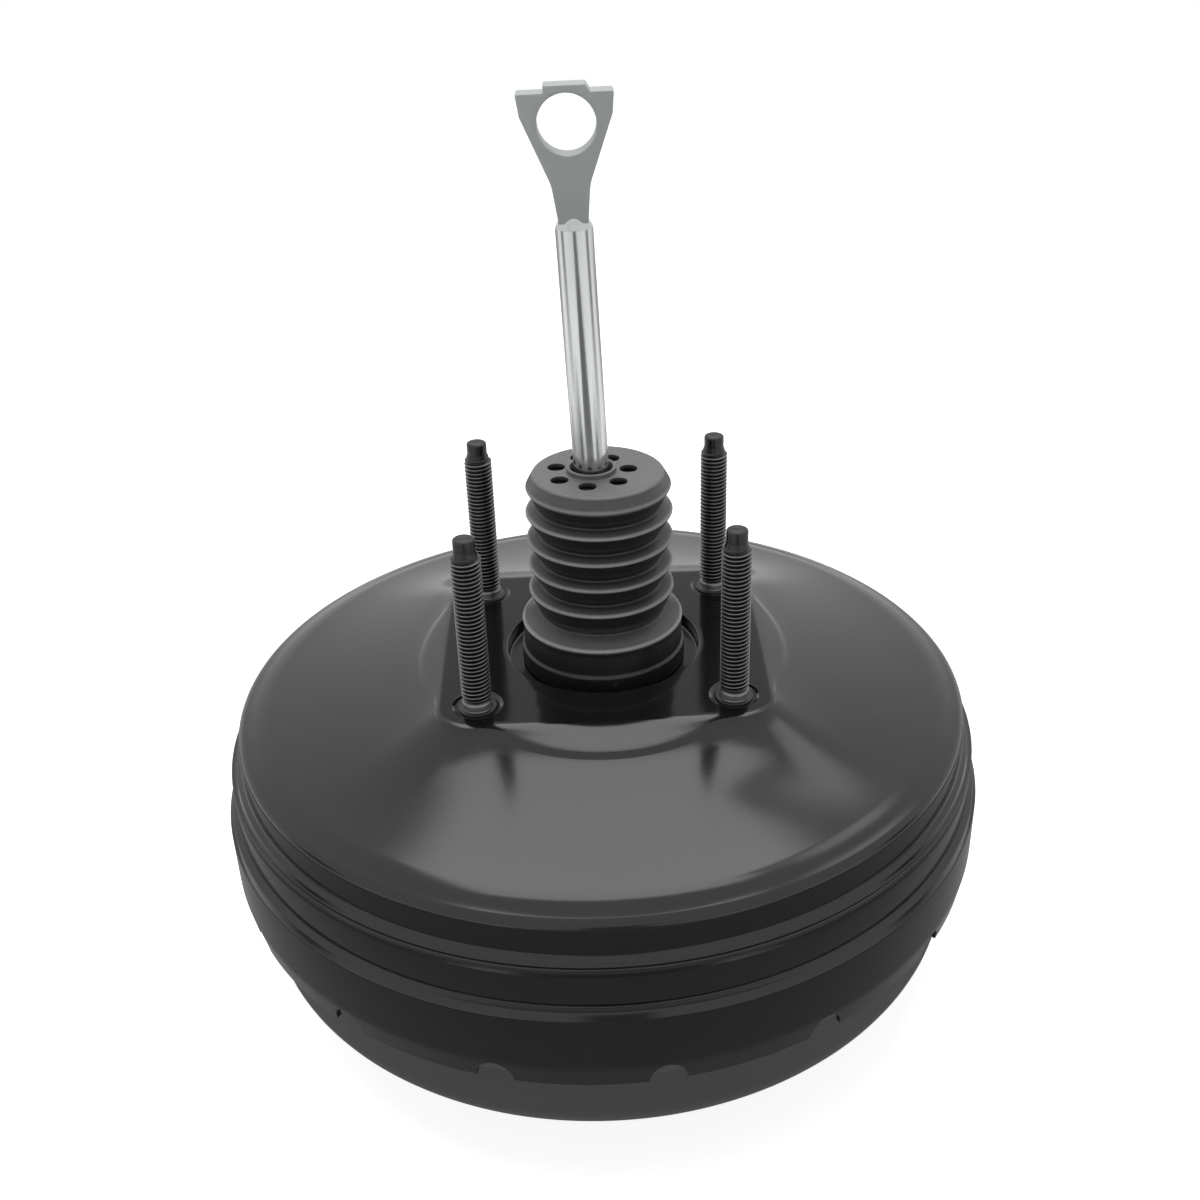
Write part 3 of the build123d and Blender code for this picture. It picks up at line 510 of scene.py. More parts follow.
def coil(mesh: BMesh, radii: Point, heights: Point, turns: int, wire: float) -> None:
    """Round wire wound about Z, straight or tapered.

    Args:
        mesh: Mesh to add to, in millimetres.
        radii: Radius of the wire's middle at the foot and at the top.
        heights: Height of the wire's middle at the foot and at the top.
        turns: Number of turns.
        wire: Diameter of the wire.
    """
    low, high = heights
    place = Matrix.Translation((radii[0], 0, low)) @ Matrix.Rotation(math.pi / 2, 4, "X")
    seed = bmesh.ops.create_circle(mesh, segments=14, radius=wire / 2, matrix=place)["verts"]
    helix(mesh, seed + edges_among(seed), turns, high - low, 40 * turns)
    for vert in mesh.verts:
        share = min(max((vert.co.z - low) / (high - low), 0.0), 1.0)
        around = Vector((vert.co.x, vert.co.y, 0.0))
        vert.co += around.normalized() * (radii[1] - radii[0]) * share
    ends = [edge for edge in mesh.edges if edge.is_boundary]
    bmesh.ops.edgeloop_fill(mesh, edges=ends)
    bmesh.ops.recalc_face_normals(mesh, faces=mesh.faces)


def mark_wear_and_painted_light(mesh: bpy.types.Mesh, share: Callable[[Vector], float]) -> None:
    """Write the attribute of wear and painted light of a mesh, from 0 to 1 at a place in millimetres."""
    layer = mesh.attributes.new("wear_and_painted_light", "FLOAT", "POINT")
    for item, vert in zip(layer.data, mesh.vertices):
        item.value = share(vert.co / MM)


def link_mesh(name: str, mesh: BMesh) -> Object:
    """Put a bmesh into a new linked object.

    Args:
        name: Name of the object and its mesh.
        mesh: Finished bmesh, which is freed.

    Returns:
        The new object.
    """
    data = bpy.data.meshes.new(name)
    mesh.to_mesh(data)
    mesh.free()
    made = bpy.data.objects.new(name, data)
    bpy.context.scene.collection.objects.link(made)
    return made


def make_object(name: str, mesh: BMesh, finishes: Sequence[Finishes]) -> Object:
    """Turn a bmesh in millimetres into a linked object in metres.

    Args:
        name: Name of the object and its mesh.
        mesh: Finished bmesh, which is freed.
        finishes: Finishes of the material slots, in order.

    Returns:
        The new object.
    """
    bmesh.ops.scale(mesh, vec=(MM, MM, MM), verts=mesh.verts)
    made = link_mesh(name, mesh)
    for finish in finishes:
        made.data.materials.append(finish.value.material())
    return made


def apply_modifiers(piece: Object) -> None:
    """Make a piece's modifiers part of its mesh.

    Args:
        piece: Object whose modifiers are applied.
    """
    bpy.context.view_layer.update()
    graph = bpy.context.evaluated_depsgraph_get()
    data = bpy.data.meshes.new_from_object(piece.evaluated_get(graph))
    piece.modifiers.clear()
    piece.data = data


def smooth(piece: Object, degrees: float) -> None:
    """Shade a piece smooth, with sharp edges past an angle."""
    piece.data.shade_smooth()
    piece.data.set_sharp_from_angle(angle=math.radians(degrees))


def thicken(piece: Object, thickness: float, offset: float) -> None:
    """Give a sheet its thickness.

    Args:
        piece: Open sheet with normals outwards.
        thickness: Thickness in millimetres.
        offset: -1 grows inwards, 0 both ways.
    """
    wall = piece.modifiers.new("sheet", "SOLIDIFY")
    wall.thickness = thickness * MM
    wall.offset = offset
    wall.use_even_offset = True
    apply_modifiers(piece)


def cut_holes(piece: Object, cutter: BMesh) -> None:
    """Cut holes out of a piece.

    Args:
        piece: Object that is cut.
        cutter: Closed cutters in millimetres, which are freed.
    """
    tool = make_object("hole_cutter", cutter, ())
    cut = piece.modifiers.new("holes", "BOOLEAN")
    cut.operation = "DIFFERENCE"
    cut.solver = "EXACT"
    cut.object = tool
    apply_modifiers(piece)
    bpy.data.objects.remove(tool)


def round_cutter(mesh: BMesh, place: Matrix, radius: float, depth: float, steps: int) -> None:
    """Add one closed round cutter, in millimetres, with its middle at a place."""
    bmesh.ops.create_cone(
        mesh, cap_ends=True, segments=steps, radius1=radius, radius2=radius, depth=depth, matrix=place
    )


def bend(piece: Object, start: float, end: float, slot: Finishes, node: str) -> Object:
    """Bake a rubber piece's transform and hide its node, in whose place it stands between the housing and
    the power piston.

    Args:
        piece: Finished object.
        start: Height in metres up to which it stays with the housing; not used.
        end: Height in metres from which it moves with the piston; not used.
        slot: Finish whose slot it takes; not used.
        node: Node that it stands for.

    Returns:
        The same object.
    """
    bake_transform(piece)
    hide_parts(node)
    LOG.info("%s bends between %s and %s", piece.name, Body.HOUSING.value, Body.PISTON.value)
    return piece


def settle(piece: Object, body: Body, slot: Finishes, *nodes: str) -> Object:
    """Let a finished piece ride on a body in the place of its nodes.

    Args:
        piece: Finished object.
        body: Body that it moves with.
        slot: Finish whose slot it takes; not used.
        nodes: Nodes that it stands for.

    Returns:
        The same object.
    """
    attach(piece, body.value)
    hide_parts(*nodes)
    LOG.info("%s rides on %s", piece.name, body.value)
    return piece


@dataclass
class RearShell:
    """Pressed rear shell: pad, square-to-round dome, stepped rim and the notched lip, in millimetres."""

    pad_half: Point = (56.5, 52.25)
    pad_corner: float = 13.0
    boss_r: float = 66.0
    boss_step: float = 0.6
    boss_soft: float = 1.5
    dome_r: float = 124.0
    dome_drop: float = 15.4
    sheet: float = 1.8
    pad_crease: float = 0.8
    boss_margin: float = 1.2
    boss_merge: float = 1.5
    ring_inset: float = 2.6
    flat_inset: float = 3.1
    flat_steps: int = 120
    flank_rings: int = 12
    neck_steps: int = 144
    dimple_steps: int = 48
    notches: int = 16
    notch_turn: float = -84.0
    notch_half: float = 2.5
    notch_side: float = 0.05
    notch_height: float = 7.6
    sector_columns: int = 26
    notch_columns: int = 12
    lip_rows: int = 12
    rim: tuple[Corner, ...] = (
        Corner(125.5, -16.9), Corner(131.0, -18.1, 4.1, 8), Corner(131.0, -29.6, 0.9, 3),
        Corner(132.9, -30.4, 0.5, 3), Corner(133.6, -31.6, 0.5, 3), Corner(135.2, -31.5, 0.7, 4),
        Corner(134.6, -33.2, 0.5, 3), Corner(135.0, -34.5, 0.6, 3), Corner(135.0, -45.0, 0.5, 3),
        Corner(134.2, -46.3, 0.5, 3), Corner(136.7, -46.9, 0.7, 3), Corner(138.0, -49.2, 1.8, 5),
        Corner(138.0, -61.0),
    )
    lip: tuple[Corner, ...] = (
        Corner(138.0, -61.0), Corner(138.0, -68.6, 4.0, 8), Corner(136.6, -76.6),
    )
    neck: tuple[Corner, ...] = (
        Corner(36.6, 0.0), Corner(34.4, 0.0, 1.8, 6), Corner(34.4, -5.0, 1.2, 5),
        Corner(26.6, -5.0, 1.2, 5), Corner(26.6, 8.0, 2.2, 6), Corner(19.5, 8.0),
    )
    dimple: tuple[Corner, ...] = (
        Corner(9.1, 0.0), Corner(8.6, 0.0, 0.5, 3), Corner(7.6, -0.8, 0.7, 3), Corner(5.8, -0.8),
    )

    def build(self) -> Object:
        """Build, thicken and dress the shell.

        Returns:
            The finished object.
        """
        mesh = bmesh.new()
        cups = self._cups(mesh)
        flat_loop = self._flat_loop(mesh)
        bmesh.ops.triangle_fill(
            mesh, use_beauty=True, use_dissolve=False, edges=flat_loop + cups, normal=(0, 0, 1)
        )
        dome_loop = self._skirted_dome(mesh)
        bmesh.ops.bridge_loops(mesh, edges=dome_loop + flat_loop)
        bmesh.ops.recalc_face_normals(mesh, faces=mesh.faces)
        piece = make_object("rear_shell_pressed", mesh, (Finishes.BLACK_PAINT,))
        thicken(piece, self.sheet, -1.0)
        smooth(piece, 38.0)
        return settle(piece, Body.HOUSING, Finishes.BLACK_PAINT, "rear_shell")

    def _columns(self) -> list[float]:
        """Angles of the columns, close together at the notches.

        Returns:
            Angles in degrees, in rising order.
        """
        sector = 360.0 / self.notches
        rest = self.sector_columns - self.notch_columns - 2
        side = self.notch_half + self.notch_side
        angles = []
        for notch in range(self.notches):
            middle = self.notch_turn + sector * notch
            for step in range(self.notch_columns + 1):
                angles.append(middle - self.notch_half * math.cos(math.pi * step / self.notch_columns))
            for step in range(rest + 1):
                angles.append(middle + side + (sector - 2 * side) * step / rest)
        return angles

    def _pad_reach(self, angle: float) -> float:
        """Distance from the middle to the pad's rounded outline.

        Args:
            angle: Direction in radians.

        Returns:
            Distance in millimetres.
        """
        across, up = abs(math.cos(angle)), abs(math.sin(angle))
        inner = (self.pad_half[0] - self.pad_corner, self.pad_half[1] - self.pad_corner)
        if across and self.pad_half[0] / across * up <= inner[1]:
            return self.pad_half[0] / across
        if up and self.pad_half[1] / up * across <= inner[0]:
            return self.pad_half[1] / up
        ahead = across * inner[0] + up * inner[1]
        return ahead + math.sqrt(ahead * ahead - inner[0] ** 2 - inner[1] ** 2 + self.pad_corner**2)

    def _boss_reach(self, angle: float) -> float:
        """Distance to the edge of the raised boss, which follows the pad at its corners.

        Args:
            angle: Direction in radians.

        Returns:
            Distance in millimetres.
        """
        round_edge, corner_edge = self.boss_r, self._pad_reach(angle) + self.boss_margin
        gap = self.boss_merge
        return gap * math.log(math.exp(round_edge / gap) + math.exp(corner_edge / gap))

    def _boss_half(self, angle: float) -> float:
        """Half the width of the slope at the boss edge, narrow where it meets the pad's corners."""
        return min(self.boss_soft, 0.45 * (self._boss_reach(angle) - self._pad_reach(angle)))

    def _dome_height(self, radius: float, angle: float) -> float:
        """Height of the dome: flat pad, soft crease, flank and the step at the boss.

        Args:
            radius: Distance from the middle.
            angle: Direction in radians.

        Returns:
            Height in millimetres.
        """
        pad, soft = self._pad_reach(angle), self.pad_crease
        past = soft * math.log1p(math.exp((radius - pad) / soft))
        out = min(past / (self.dome_r - pad), 1.0)
        fall = self.dome_drop * (0.5 * out + 0.5 * (1 - (1 - out) ** 2))
        off = (radius - self._boss_reach(angle)) / (2 * self._boss_half(angle))
        step = self.boss_step * smooth_step(off + 0.5)
        return -fall - step

    def _rings(self) -> list[Callable[[float], Point]]:
        """Rings of the dome, rim and lip, each a place that depends on the direction.

        Returns:
            Functions from an angle to (radius, height).
        """
        rings: list[Callable[[float], Point]] = []

        def on_dome(reach: Callable[[float], float]) -> Callable[[float], Point]:
            """Ring on the dome at a reach that depends on the direction."""
            return lambda angle: (reach(angle), self._dome_height(reach(angle), angle))

        rings.append(lambda angle: (self._pad_reach(angle) - self.ring_inset, 0.0))
        for offset in (-2.0, -1.5, -1.0, -0.6, -0.2, 0.1, 0.4):
            rings.append(on_dome(lambda angle, offset=offset: self._pad_reach(angle) + offset))
        for share in (0.2, 0.4, 0.6, 0.8):
            rings.append(on_dome(lambda angle, share=share: self._between(angle, share)))
        for share in (-0.9, -0.65, -0.4, -0.15, 0.15, 0.4, 0.65, 0.9):
            rings.append(on_dome(lambda angle, share=share: self._boss_edge(angle, share)))
        for step in range(1, self.flank_rings + 1):
            share = step / self.flank_rings
            rings.append(on_dome(lambda angle, share=share: self._flank_reach(angle, share)))
        for place in rounded_path(self.rim)[:-1]:
            rings.append(lambda angle, place=place: place)
        path = rounded_path(self.lip)
        whole = path_length(path)
        for row in range(self.lip_rows + 1):
            share = row / self.lip_rows
            rings.append(lambda angle, share=share: along(path, share * (whole - self._notch_depth(angle))))
        return rings

    def _boss_edge(self, angle: float, share: float) -> float:
        """Reach on the slope at the boss edge, from -1 inside to 1 outside."""
        return self._boss_reach(angle) + share * self._boss_half(angle)

    def _between(self, angle: float, share: float) -> float:
        """Reach between the pad's crease and the boss edge."""
        low, high = self._pad_reach(angle) + 0.4, self._boss_reach(angle) - self._boss_half(angle)
        return low + (high - low) * share

    def _flank_reach(self, angle: float, share: float) -> float:
        """Reach between the boss edge and the dome's foot."""
        low = self._boss_reach(angle) + self._boss_half(angle) + 0.2
        return low + (self.dome_r - low) * share

    def _notch_depth(self, angle: float) -> float:
        """How far a notch cuts back the lip in one direction.

        Args:
            angle: Direction in radians.

        Returns:
            Depth in millimetres.
        """
        sector = 360.0 / self.notches
        off = (math.degrees(angle) - self.notch_turn + sector / 2) % sector - sector / 2
        inside = 1 - (off / self.notch_half) ** 2
        return self.notch_height * math.sqrt(inside) if inside > 0 else 0.0

    def _skirted_dome(self, mesh: BMesh) -> list[BMEdge]:
        """Spin a plain grid of rings and columns and move it onto the shell's form.

        Args:
            mesh: Mesh to add to.

        Returns:
            Edges of the inner loop, which bounds the pad's flat.
        """
        rings = self._rings()
        angles = [math.radians(angle) for angle in self._columns()]
        verts = lathe(mesh, [(1.0, float(ring)) for ring in range(len(rings))], len(angles))
        step = TURN / len(angles)
        inner = []
        for vert in verts:
            ring = round(vert.co.z)
            column = round(math.atan2(vert.co.y, vert.co.x) / step) % len(angles)
            radius, height = rings[ring](angles[column])
            vert.co = (radius * math.cos(angles[column]), radius * math.sin(angles[column]), height)
            if ring == 0:
                inner.append(vert)
        return edges_among(inner)

    def _flat_loop(self, mesh: BMesh) -> list[BMEdge]:
        """Plain loop inside the pad's crease, with even steps.

        Args:
            mesh: Mesh to add to.

        Returns:
            Edges of the loop.
        """
        verts = bmesh.ops.create_circle(mesh, segments=self.flat_steps, radius=1.0)["verts"]
        for vert in verts:
            vert.co = vert.co * (self._pad_reach(math.atan2(vert.co.y, vert.co.x)) - self.flat_inset)
        return edges_among(verts)

    def _cups(self, mesh: BMesh) -> list[BMEdge]:
        """Turn the moat with its neck and the four stud dimples.

        Args:
            mesh: Mesh to add to.

        Returns:
            Edges of their outer loops, which lie in the pad's flat.
        """
        neck = lathe(mesh, rounded_path(self.neck), self.neck_steps)
        loops = self._outer_loop(neck, self.neck[0].radius)
        for across in (-1, 1):
            for up in (-1, 1):
                cup = lathe(mesh, rounded_path(self.dimple), self.dimple_steps)
                loops += self._outer_loop(cup, self.dimple[0].radius)
                place = (across * STUD_HALF[0], up * STUD_HALF[1], 0)
                bmesh.ops.translate(mesh, verts=cup, vec=place)
        return loops

    @staticmethod
    def _outer_loop(verts: list[BMVert], radius: float) -> list[BMEdge]:
        """Edges of a turned form between its vertices at one radius."""
        return edges_among([vert for vert in verts if abs(vert.co.xy.length - radius) < 1e-3])


@dataclass
class FrontShell:
    """Pressed front shell under the lip, with its stepped face, in millimetres."""

    sheet: float = 2.0
    wall: tuple[Corner, ...] = (
        Corner(134.9, -61.7), Corner(134.9, -67.9, 3.2, 6), Corner(132.2, -76.3, 1.6, 4),
        Corner(129.3, -79.6, 1.6, 4), Corner(128.6, -107.6, 12.0, 12), Corner(62.0, -107.6, 3.2, 5),
        Corner(54.0, -113.6, 1.6, 5), Corner(23.0, -113.6, 1.6, 5), Corner(23.0, -104.6),
    )
    steps: int = 224
    stud_hole_r: float = 5.0
    valve_hole_r: float = 11.0
    hole_depth: float = 12.0

    def build(self) -> Object:
        """Build, cut and dress the shell.

        Returns:
            The finished object.
        """
        mesh = bmesh.new()
        lathe(mesh, rounded_path(self.wall), self.steps)
        bmesh.ops.recalc_face_normals(mesh, faces=mesh.faces)
        piece = make_object("front_shell_pressed", mesh, (Finishes.SATIN_PAINT,))
        thicken(piece, self.sheet, 0.0)
        holes = bmesh.new()
        stud_z, valve_z = self.wall[6].height, self.wall[4].height
        for side in (-1, 1):
            place = Matrix.Translation((side * FRONT_STUD_X, 0, stud_z))
            round_cutter(holes, place, self.stud_hole_r, self.hole_depth, 48)
        place = Matrix.Translation((*VALVE_PLACE, valve_z))
        round_cutter(holes, place, self.valve_hole_r, self.hole_depth, 64)
        cut_holes(piece, holes)
        smooth(piece, 35.0)
        return settle(piece, Body.HOUSING, Finishes.BLACK_PAINT, "front_shell")


@dataclass
class StudSet:
    """A set of alike studs with a cut thread, in millimetres along +Z before they are turned over."""

    name: str
    node: str
    places: tuple[Point, ...]
    pitch: float
    crest_r: float
    root_r: float
    thread: tuple[float, float]
    core: tuple[Corner, ...]
    base: float = 0.0
    turned_over: bool = False
    turn_steps: int = 32
    core_steps: int = 56
    fade_turns: Point = (1.6, 1.4)
    fade_sink: float = 0.3
    crest_wear: float = 0.85

    def build(self) -> Object:
        """Build and dress the studs.

        Returns:
            The finished object.
        """
        mesh = bmesh.new()
        for place in self.places:
            mesh_one = self._one()
            if self.turned_over:
                bmesh.ops.rotate(mesh_one, verts=mesh_one.verts, matrix=Matrix.Rotation(math.pi, 3, "X"))
            bmesh.ops.translate(mesh_one, verts=mesh_one.verts, vec=(place[0], place[1], self.base))
            data = bpy.data.meshes.new("stud_one")
            mesh_one.to_mesh(data)
            mesh_one.free()
            mesh.from_mesh(data)
            bpy.data.meshes.remove(data)
        piece = make_object(self.name, mesh, (Finishes.BLACK_OXIDE,))
        mark_wear_and_painted_light(piece.data, self._wear_and_painted_light)
        smooth(piece, 32.0)
        return settle(piece, Body.HOUSING, Finishes.BLACK_OXIDE, self.node)

    def _one(self) -> BMesh:
        """One stud at the origin: turned core with the thread wound on it.

        Returns:
            The stud's bmesh, in millimetres.
        """
        mesh = bmesh.new()
        low, high = self.thread
        turns = round((high - low) / self.pitch)
        tooth = (
            (self.root_r, 0.0),
            (self.root_r, 0.1),
            (self.crest_r - 0.26, 0.35),
            (self.crest_r - 0.04, 0.43),
            (self.crest_r, 0.5),
            (self.crest_r - 0.04, 0.57),
            (self.crest_r - 0.26, 0.65),
            (self.root_r, 0.9),
            (self.root_r, 1.0),
        )
        seed = [mesh.verts.new((radius, 0, low + share * self.pitch)) for radius, share in tooth]
        edges = [mesh.edges.new(pair) for pair in zip(seed, seed[1:])]
        helix(mesh, seed + edges, turns, turns * self.pitch, self.turn_steps * turns)
        bmesh.ops.remove_doubles(mesh, verts=mesh.verts, dist=1e-3)
        for vert in mesh.verts:
            self._run_out(vert, low, low + (turns + 1) * self.pitch)
        lathe(mesh, rounded_path(self.core), self.core_steps)
        bmesh.ops.recalc_face_normals(mesh, faces=mesh.faces)
        return mesh

    def _run_out(self, vert: BMVert, low: float, high: float) -> None:
        """Let the thread fade into the core at its two ends.

        Args:
            vert: Vertex of the thread.
            low: Height of the thread's foot.
            high: Height of the thread's top.
        """
        around = math.hypot(vert.co.x, vert.co.y)
        foot, top = (turns * self.pitch for turns in self.fade_turns)
        ramp = min((vert.co.z - low) / foot, (high - vert.co.z) / top)
        sunk = self.root_r - self.fade_sink
        wanted = sunk + (around - sunk) * smooth_step(ramp)
        vert.co.x *= wanted / around
        vert.co.y *= wanted / around

    def _wear_and_painted_light(self, place: Vector) -> float:
        """Wear on the thread's crests.

        Args:
            place: Place in millimetres.

        Returns:
            Wear from 0 to 1.
        """
        off = min(math.hypot(place.x - x, place.y - y) for x, y in self.places)
        crest = smooth_step((off - self.crest_r + 0.28) / 0.24)
        inside = 1.0 if off < self.crest_r + 0.05 else 0.0
        return self.crest_wear * crest * inside


def firewall_studs() -> StudSet:
    """Four studs on the pad, with dog points."""
    places = tuple((x, y) for x in (-STUD_HALF[0], STUD_HALF[0]) for y in (-STUD_HALF[1], STUD_HALF[1]))
    core = (
        Corner(0.0, -8.3), Corner(8.0, -8.3, 0.5, 3), Corner(8.0, -4.3, 0.5, 3), Corner(5.6, -4.3),
        Corner(5.6, -0.8), Corner(6.6, -0.8), Corner(6.6, -0.2, 0.4, 3), Corner(5.0, -0.2, 0.3, 3),
        Corner(5.0, 2.2, 0.3, 3), Corner(4.02, 3.0), Corner(4.02, 57.2), Corner(3.6, 58.3, 0.2, 2),
        Corner(3.6, 62.6, 0.7, 4), Corner(1.9, 62.6, 0.2, 2), Corner(0.0, 62.2),
    )
    return StudSet("firewall_studs_threaded", "firewall_studs", places, 1.5, 5.0, 4.0, (2.0, 56.0), core)


def master_cylinder_studs() -> StudSet:
    """Two studs on the front face."""
    core = (
        Corner(0.0, -9.0), Corner(7.0, -9.0, 0.5, 3), Corner(7.0, -4.5, 0.5, 3), Corner(4.8, -4.5),
        Corner(4.8, 0.0), Corner(4.0, 0.0), Corner(4.0, 1.6, 0.3, 3), Corner(3.3, 2.2),
        Corner(3.3, 25.2), Corner(2.8, 26.0, 0.3, 3), Corner(0.0, 26.0),
    )
    places = ((-FRONT_STUD_X, 0.0), (FRONT_STUD_X, 0.0))
    return StudSet(
        "master_cylinder_studs_threaded", "master_cylinder_studs", places, 1.25, 4.0, 3.28, (1.5, 24.0),
        core, base=-114.6, turned_over=True,
    )


@dataclass
class DustBoot:
    """Rubber bellows from the neck to the stem's end, in millimetres."""

    collar_r: Point = (7.35, 8.5)
    collar_top: float = 69.0
    top: float = 67.0
    wall: float = 1.5
    vents: int = 7
    vent_r: float = 3.1
    vent_depth: float = 8.0
    vent_ring: float = 12.7
    vent_turn: float = 263.0
    top_r: float = 22.4
    crests: tuple[Point, ...] = (
        (25.0, 62.3), (25.7, 53.2), (25.7, 43.4), (25.5, 33.6), (25.8, 24.0), (28.7, 11.9),
    )
    valleys: tuple[Point, ...] = ((21.2, 55.2), (21.0, 45.4), (21.0, 35.6), (21.0, 26.0), (22.2, 15.2))
    foot_r: Point = (26.8, 28.3)
    bead_r: float = 29.2
    bead_top: float = 2.2
    foot: float = -4.6
    rod_shift: float = -2.22
    shift_fade: Point = (9.0, 11.0)
    steps: int = 144
    longest_run: float = 1.1

    def build(self) -> Object:
        """Build, vent and dress the boot, and put it in the place of its node.

        Returns:
            The finished object.
        """
        mesh = bmesh.new()
        profile = close_steps(rounded_path(self._profile(), True), self.longest_run)
        for vert in lathe(mesh, profile, self.steps, True):
            vert.co.x += self._collar_shift(vert.co)
        bmesh.ops.recalc_face_normals(mesh, faces=mesh.faces)
        piece = make_object("dust_boot_bellows", mesh, (Finishes.BOOT_RUBBER,))
        holes = bmesh.new()
        for count in range(self.vents):
            turn = Matrix.Rotation(math.radians(self.vent_turn + 360.0 / self.vents * count), 4, "Z")
            place = Matrix.Translation((self.rod_shift, 0, 0)) @ turn
            middle = Matrix.Translation((self.vent_ring, 0, self.top))
            round_cutter(holes, place @ middle, self.vent_r, self.vent_depth, 40)
        cut_holes(piece, holes)
        # Painted highlight and painted light, written into the attribute.
        mark_wear_and_painted_light(piece.data, self._wear_and_painted_light)
        smooth(piece, 40.0)
        return bend(piece, 0.003, 0.062, Finishes.BOOT_RUBBER, "dust_boot")

    def _collar_shift(self, place: Vector) -> float:
        """How far the collar pulls the top's rubber towards the leaning rod.

        Args:
            place: Place in millimetres.

        Returns:
            Shift along X in millimetres.
        """
        if place.z < self.top - 2 * self.wall:
            return 0.0
        start, run = self.shift_fade
        return self.rod_shift * (1 - smooth_step((math.hypot(place.x, place.y) - start) / run))

    def _profile(self) -> list[Corner]:
        """Closed profile of the rubber, outside from the top down and back up inside.

        Returns:
            Corners with their bends.
        """
        bore, collar = self.collar_r
        grip, skirt = self.foot_r
        outer = [Corner(self.top_r, self.top, 1.4, 5)]
        inner = [Corner(self.top_r - self.wall, self.top - self.wall, 0.6, 3)]
        for index, crest in enumerate(self.crests):
            outer.append(Corner(*crest, 0.7, 6))
            inner.append(Corner(crest[0] - 1.25 * self.wall, crest[1] - 0.3 * self.wall, 0.6, 3))
            if index < len(self.valleys):
                valley = self.valleys[index]
                outer.append(Corner(*valley, 0.7, 4))
                inner.append(Corner(valley[0] - self.wall, valley[1] - 0.4 * self.wall, 0.6, 3))
        inner[-1] = Corner(grip, self.crests[-1][1] - 1.6, 0.5, 3)
        foot = [
            Corner(skirt, self.crests[-1][1] - 2.2, 0.6, 3), Corner(skirt, self.bead_top, 0.5, 3),
            Corner(self.bead_r, self.bead_top - 0.7, 0.7, 4), Corner(self.bead_r, self.foot, 0.5, 3),
            Corner(grip, self.foot, 0.4, 3),
        ]
        head = [
            Corner(bore, self.top - self.wall, 0.3, 3), Corner(bore, self.collar_top, 0.3, 3),
            Corner(collar, self.collar_top, 0.4, 4), Corner(collar, self.top, 0.6, 4),
        ]
        return head + outer + foot + inner[::-1]

    def _wear_and_painted_light(self, place: Vector) -> float:
        """Painted highlight on the crests, and painted light that makes the upper sides of the folds and
        the top paler.

        Args:
            place: Place in millimetres.

        Returns:
            Share of painted highlight and painted light, from 0 to 1.
        """
        around = math.hypot(place.x, place.y)
        over = min((place.z - height for _, height in self.crests), key=abs)
        # Painted highlight along each crest, and painted light on the upward sides of the folds and on the
        # top.
        crest = smooth_step((around - 23.8) / 1.0) * (1 - smooth_step((abs(over) - 0.2) / 0.5))
        upper = smooth_step((over + 0.4) / 1.0) * smooth_step((around - 21.6) / 1.6)
        top = smooth_step((place.z - self.top + 1.0) / 0.8)
        return max(crest, 0.2 * upper, 0.45 * top)


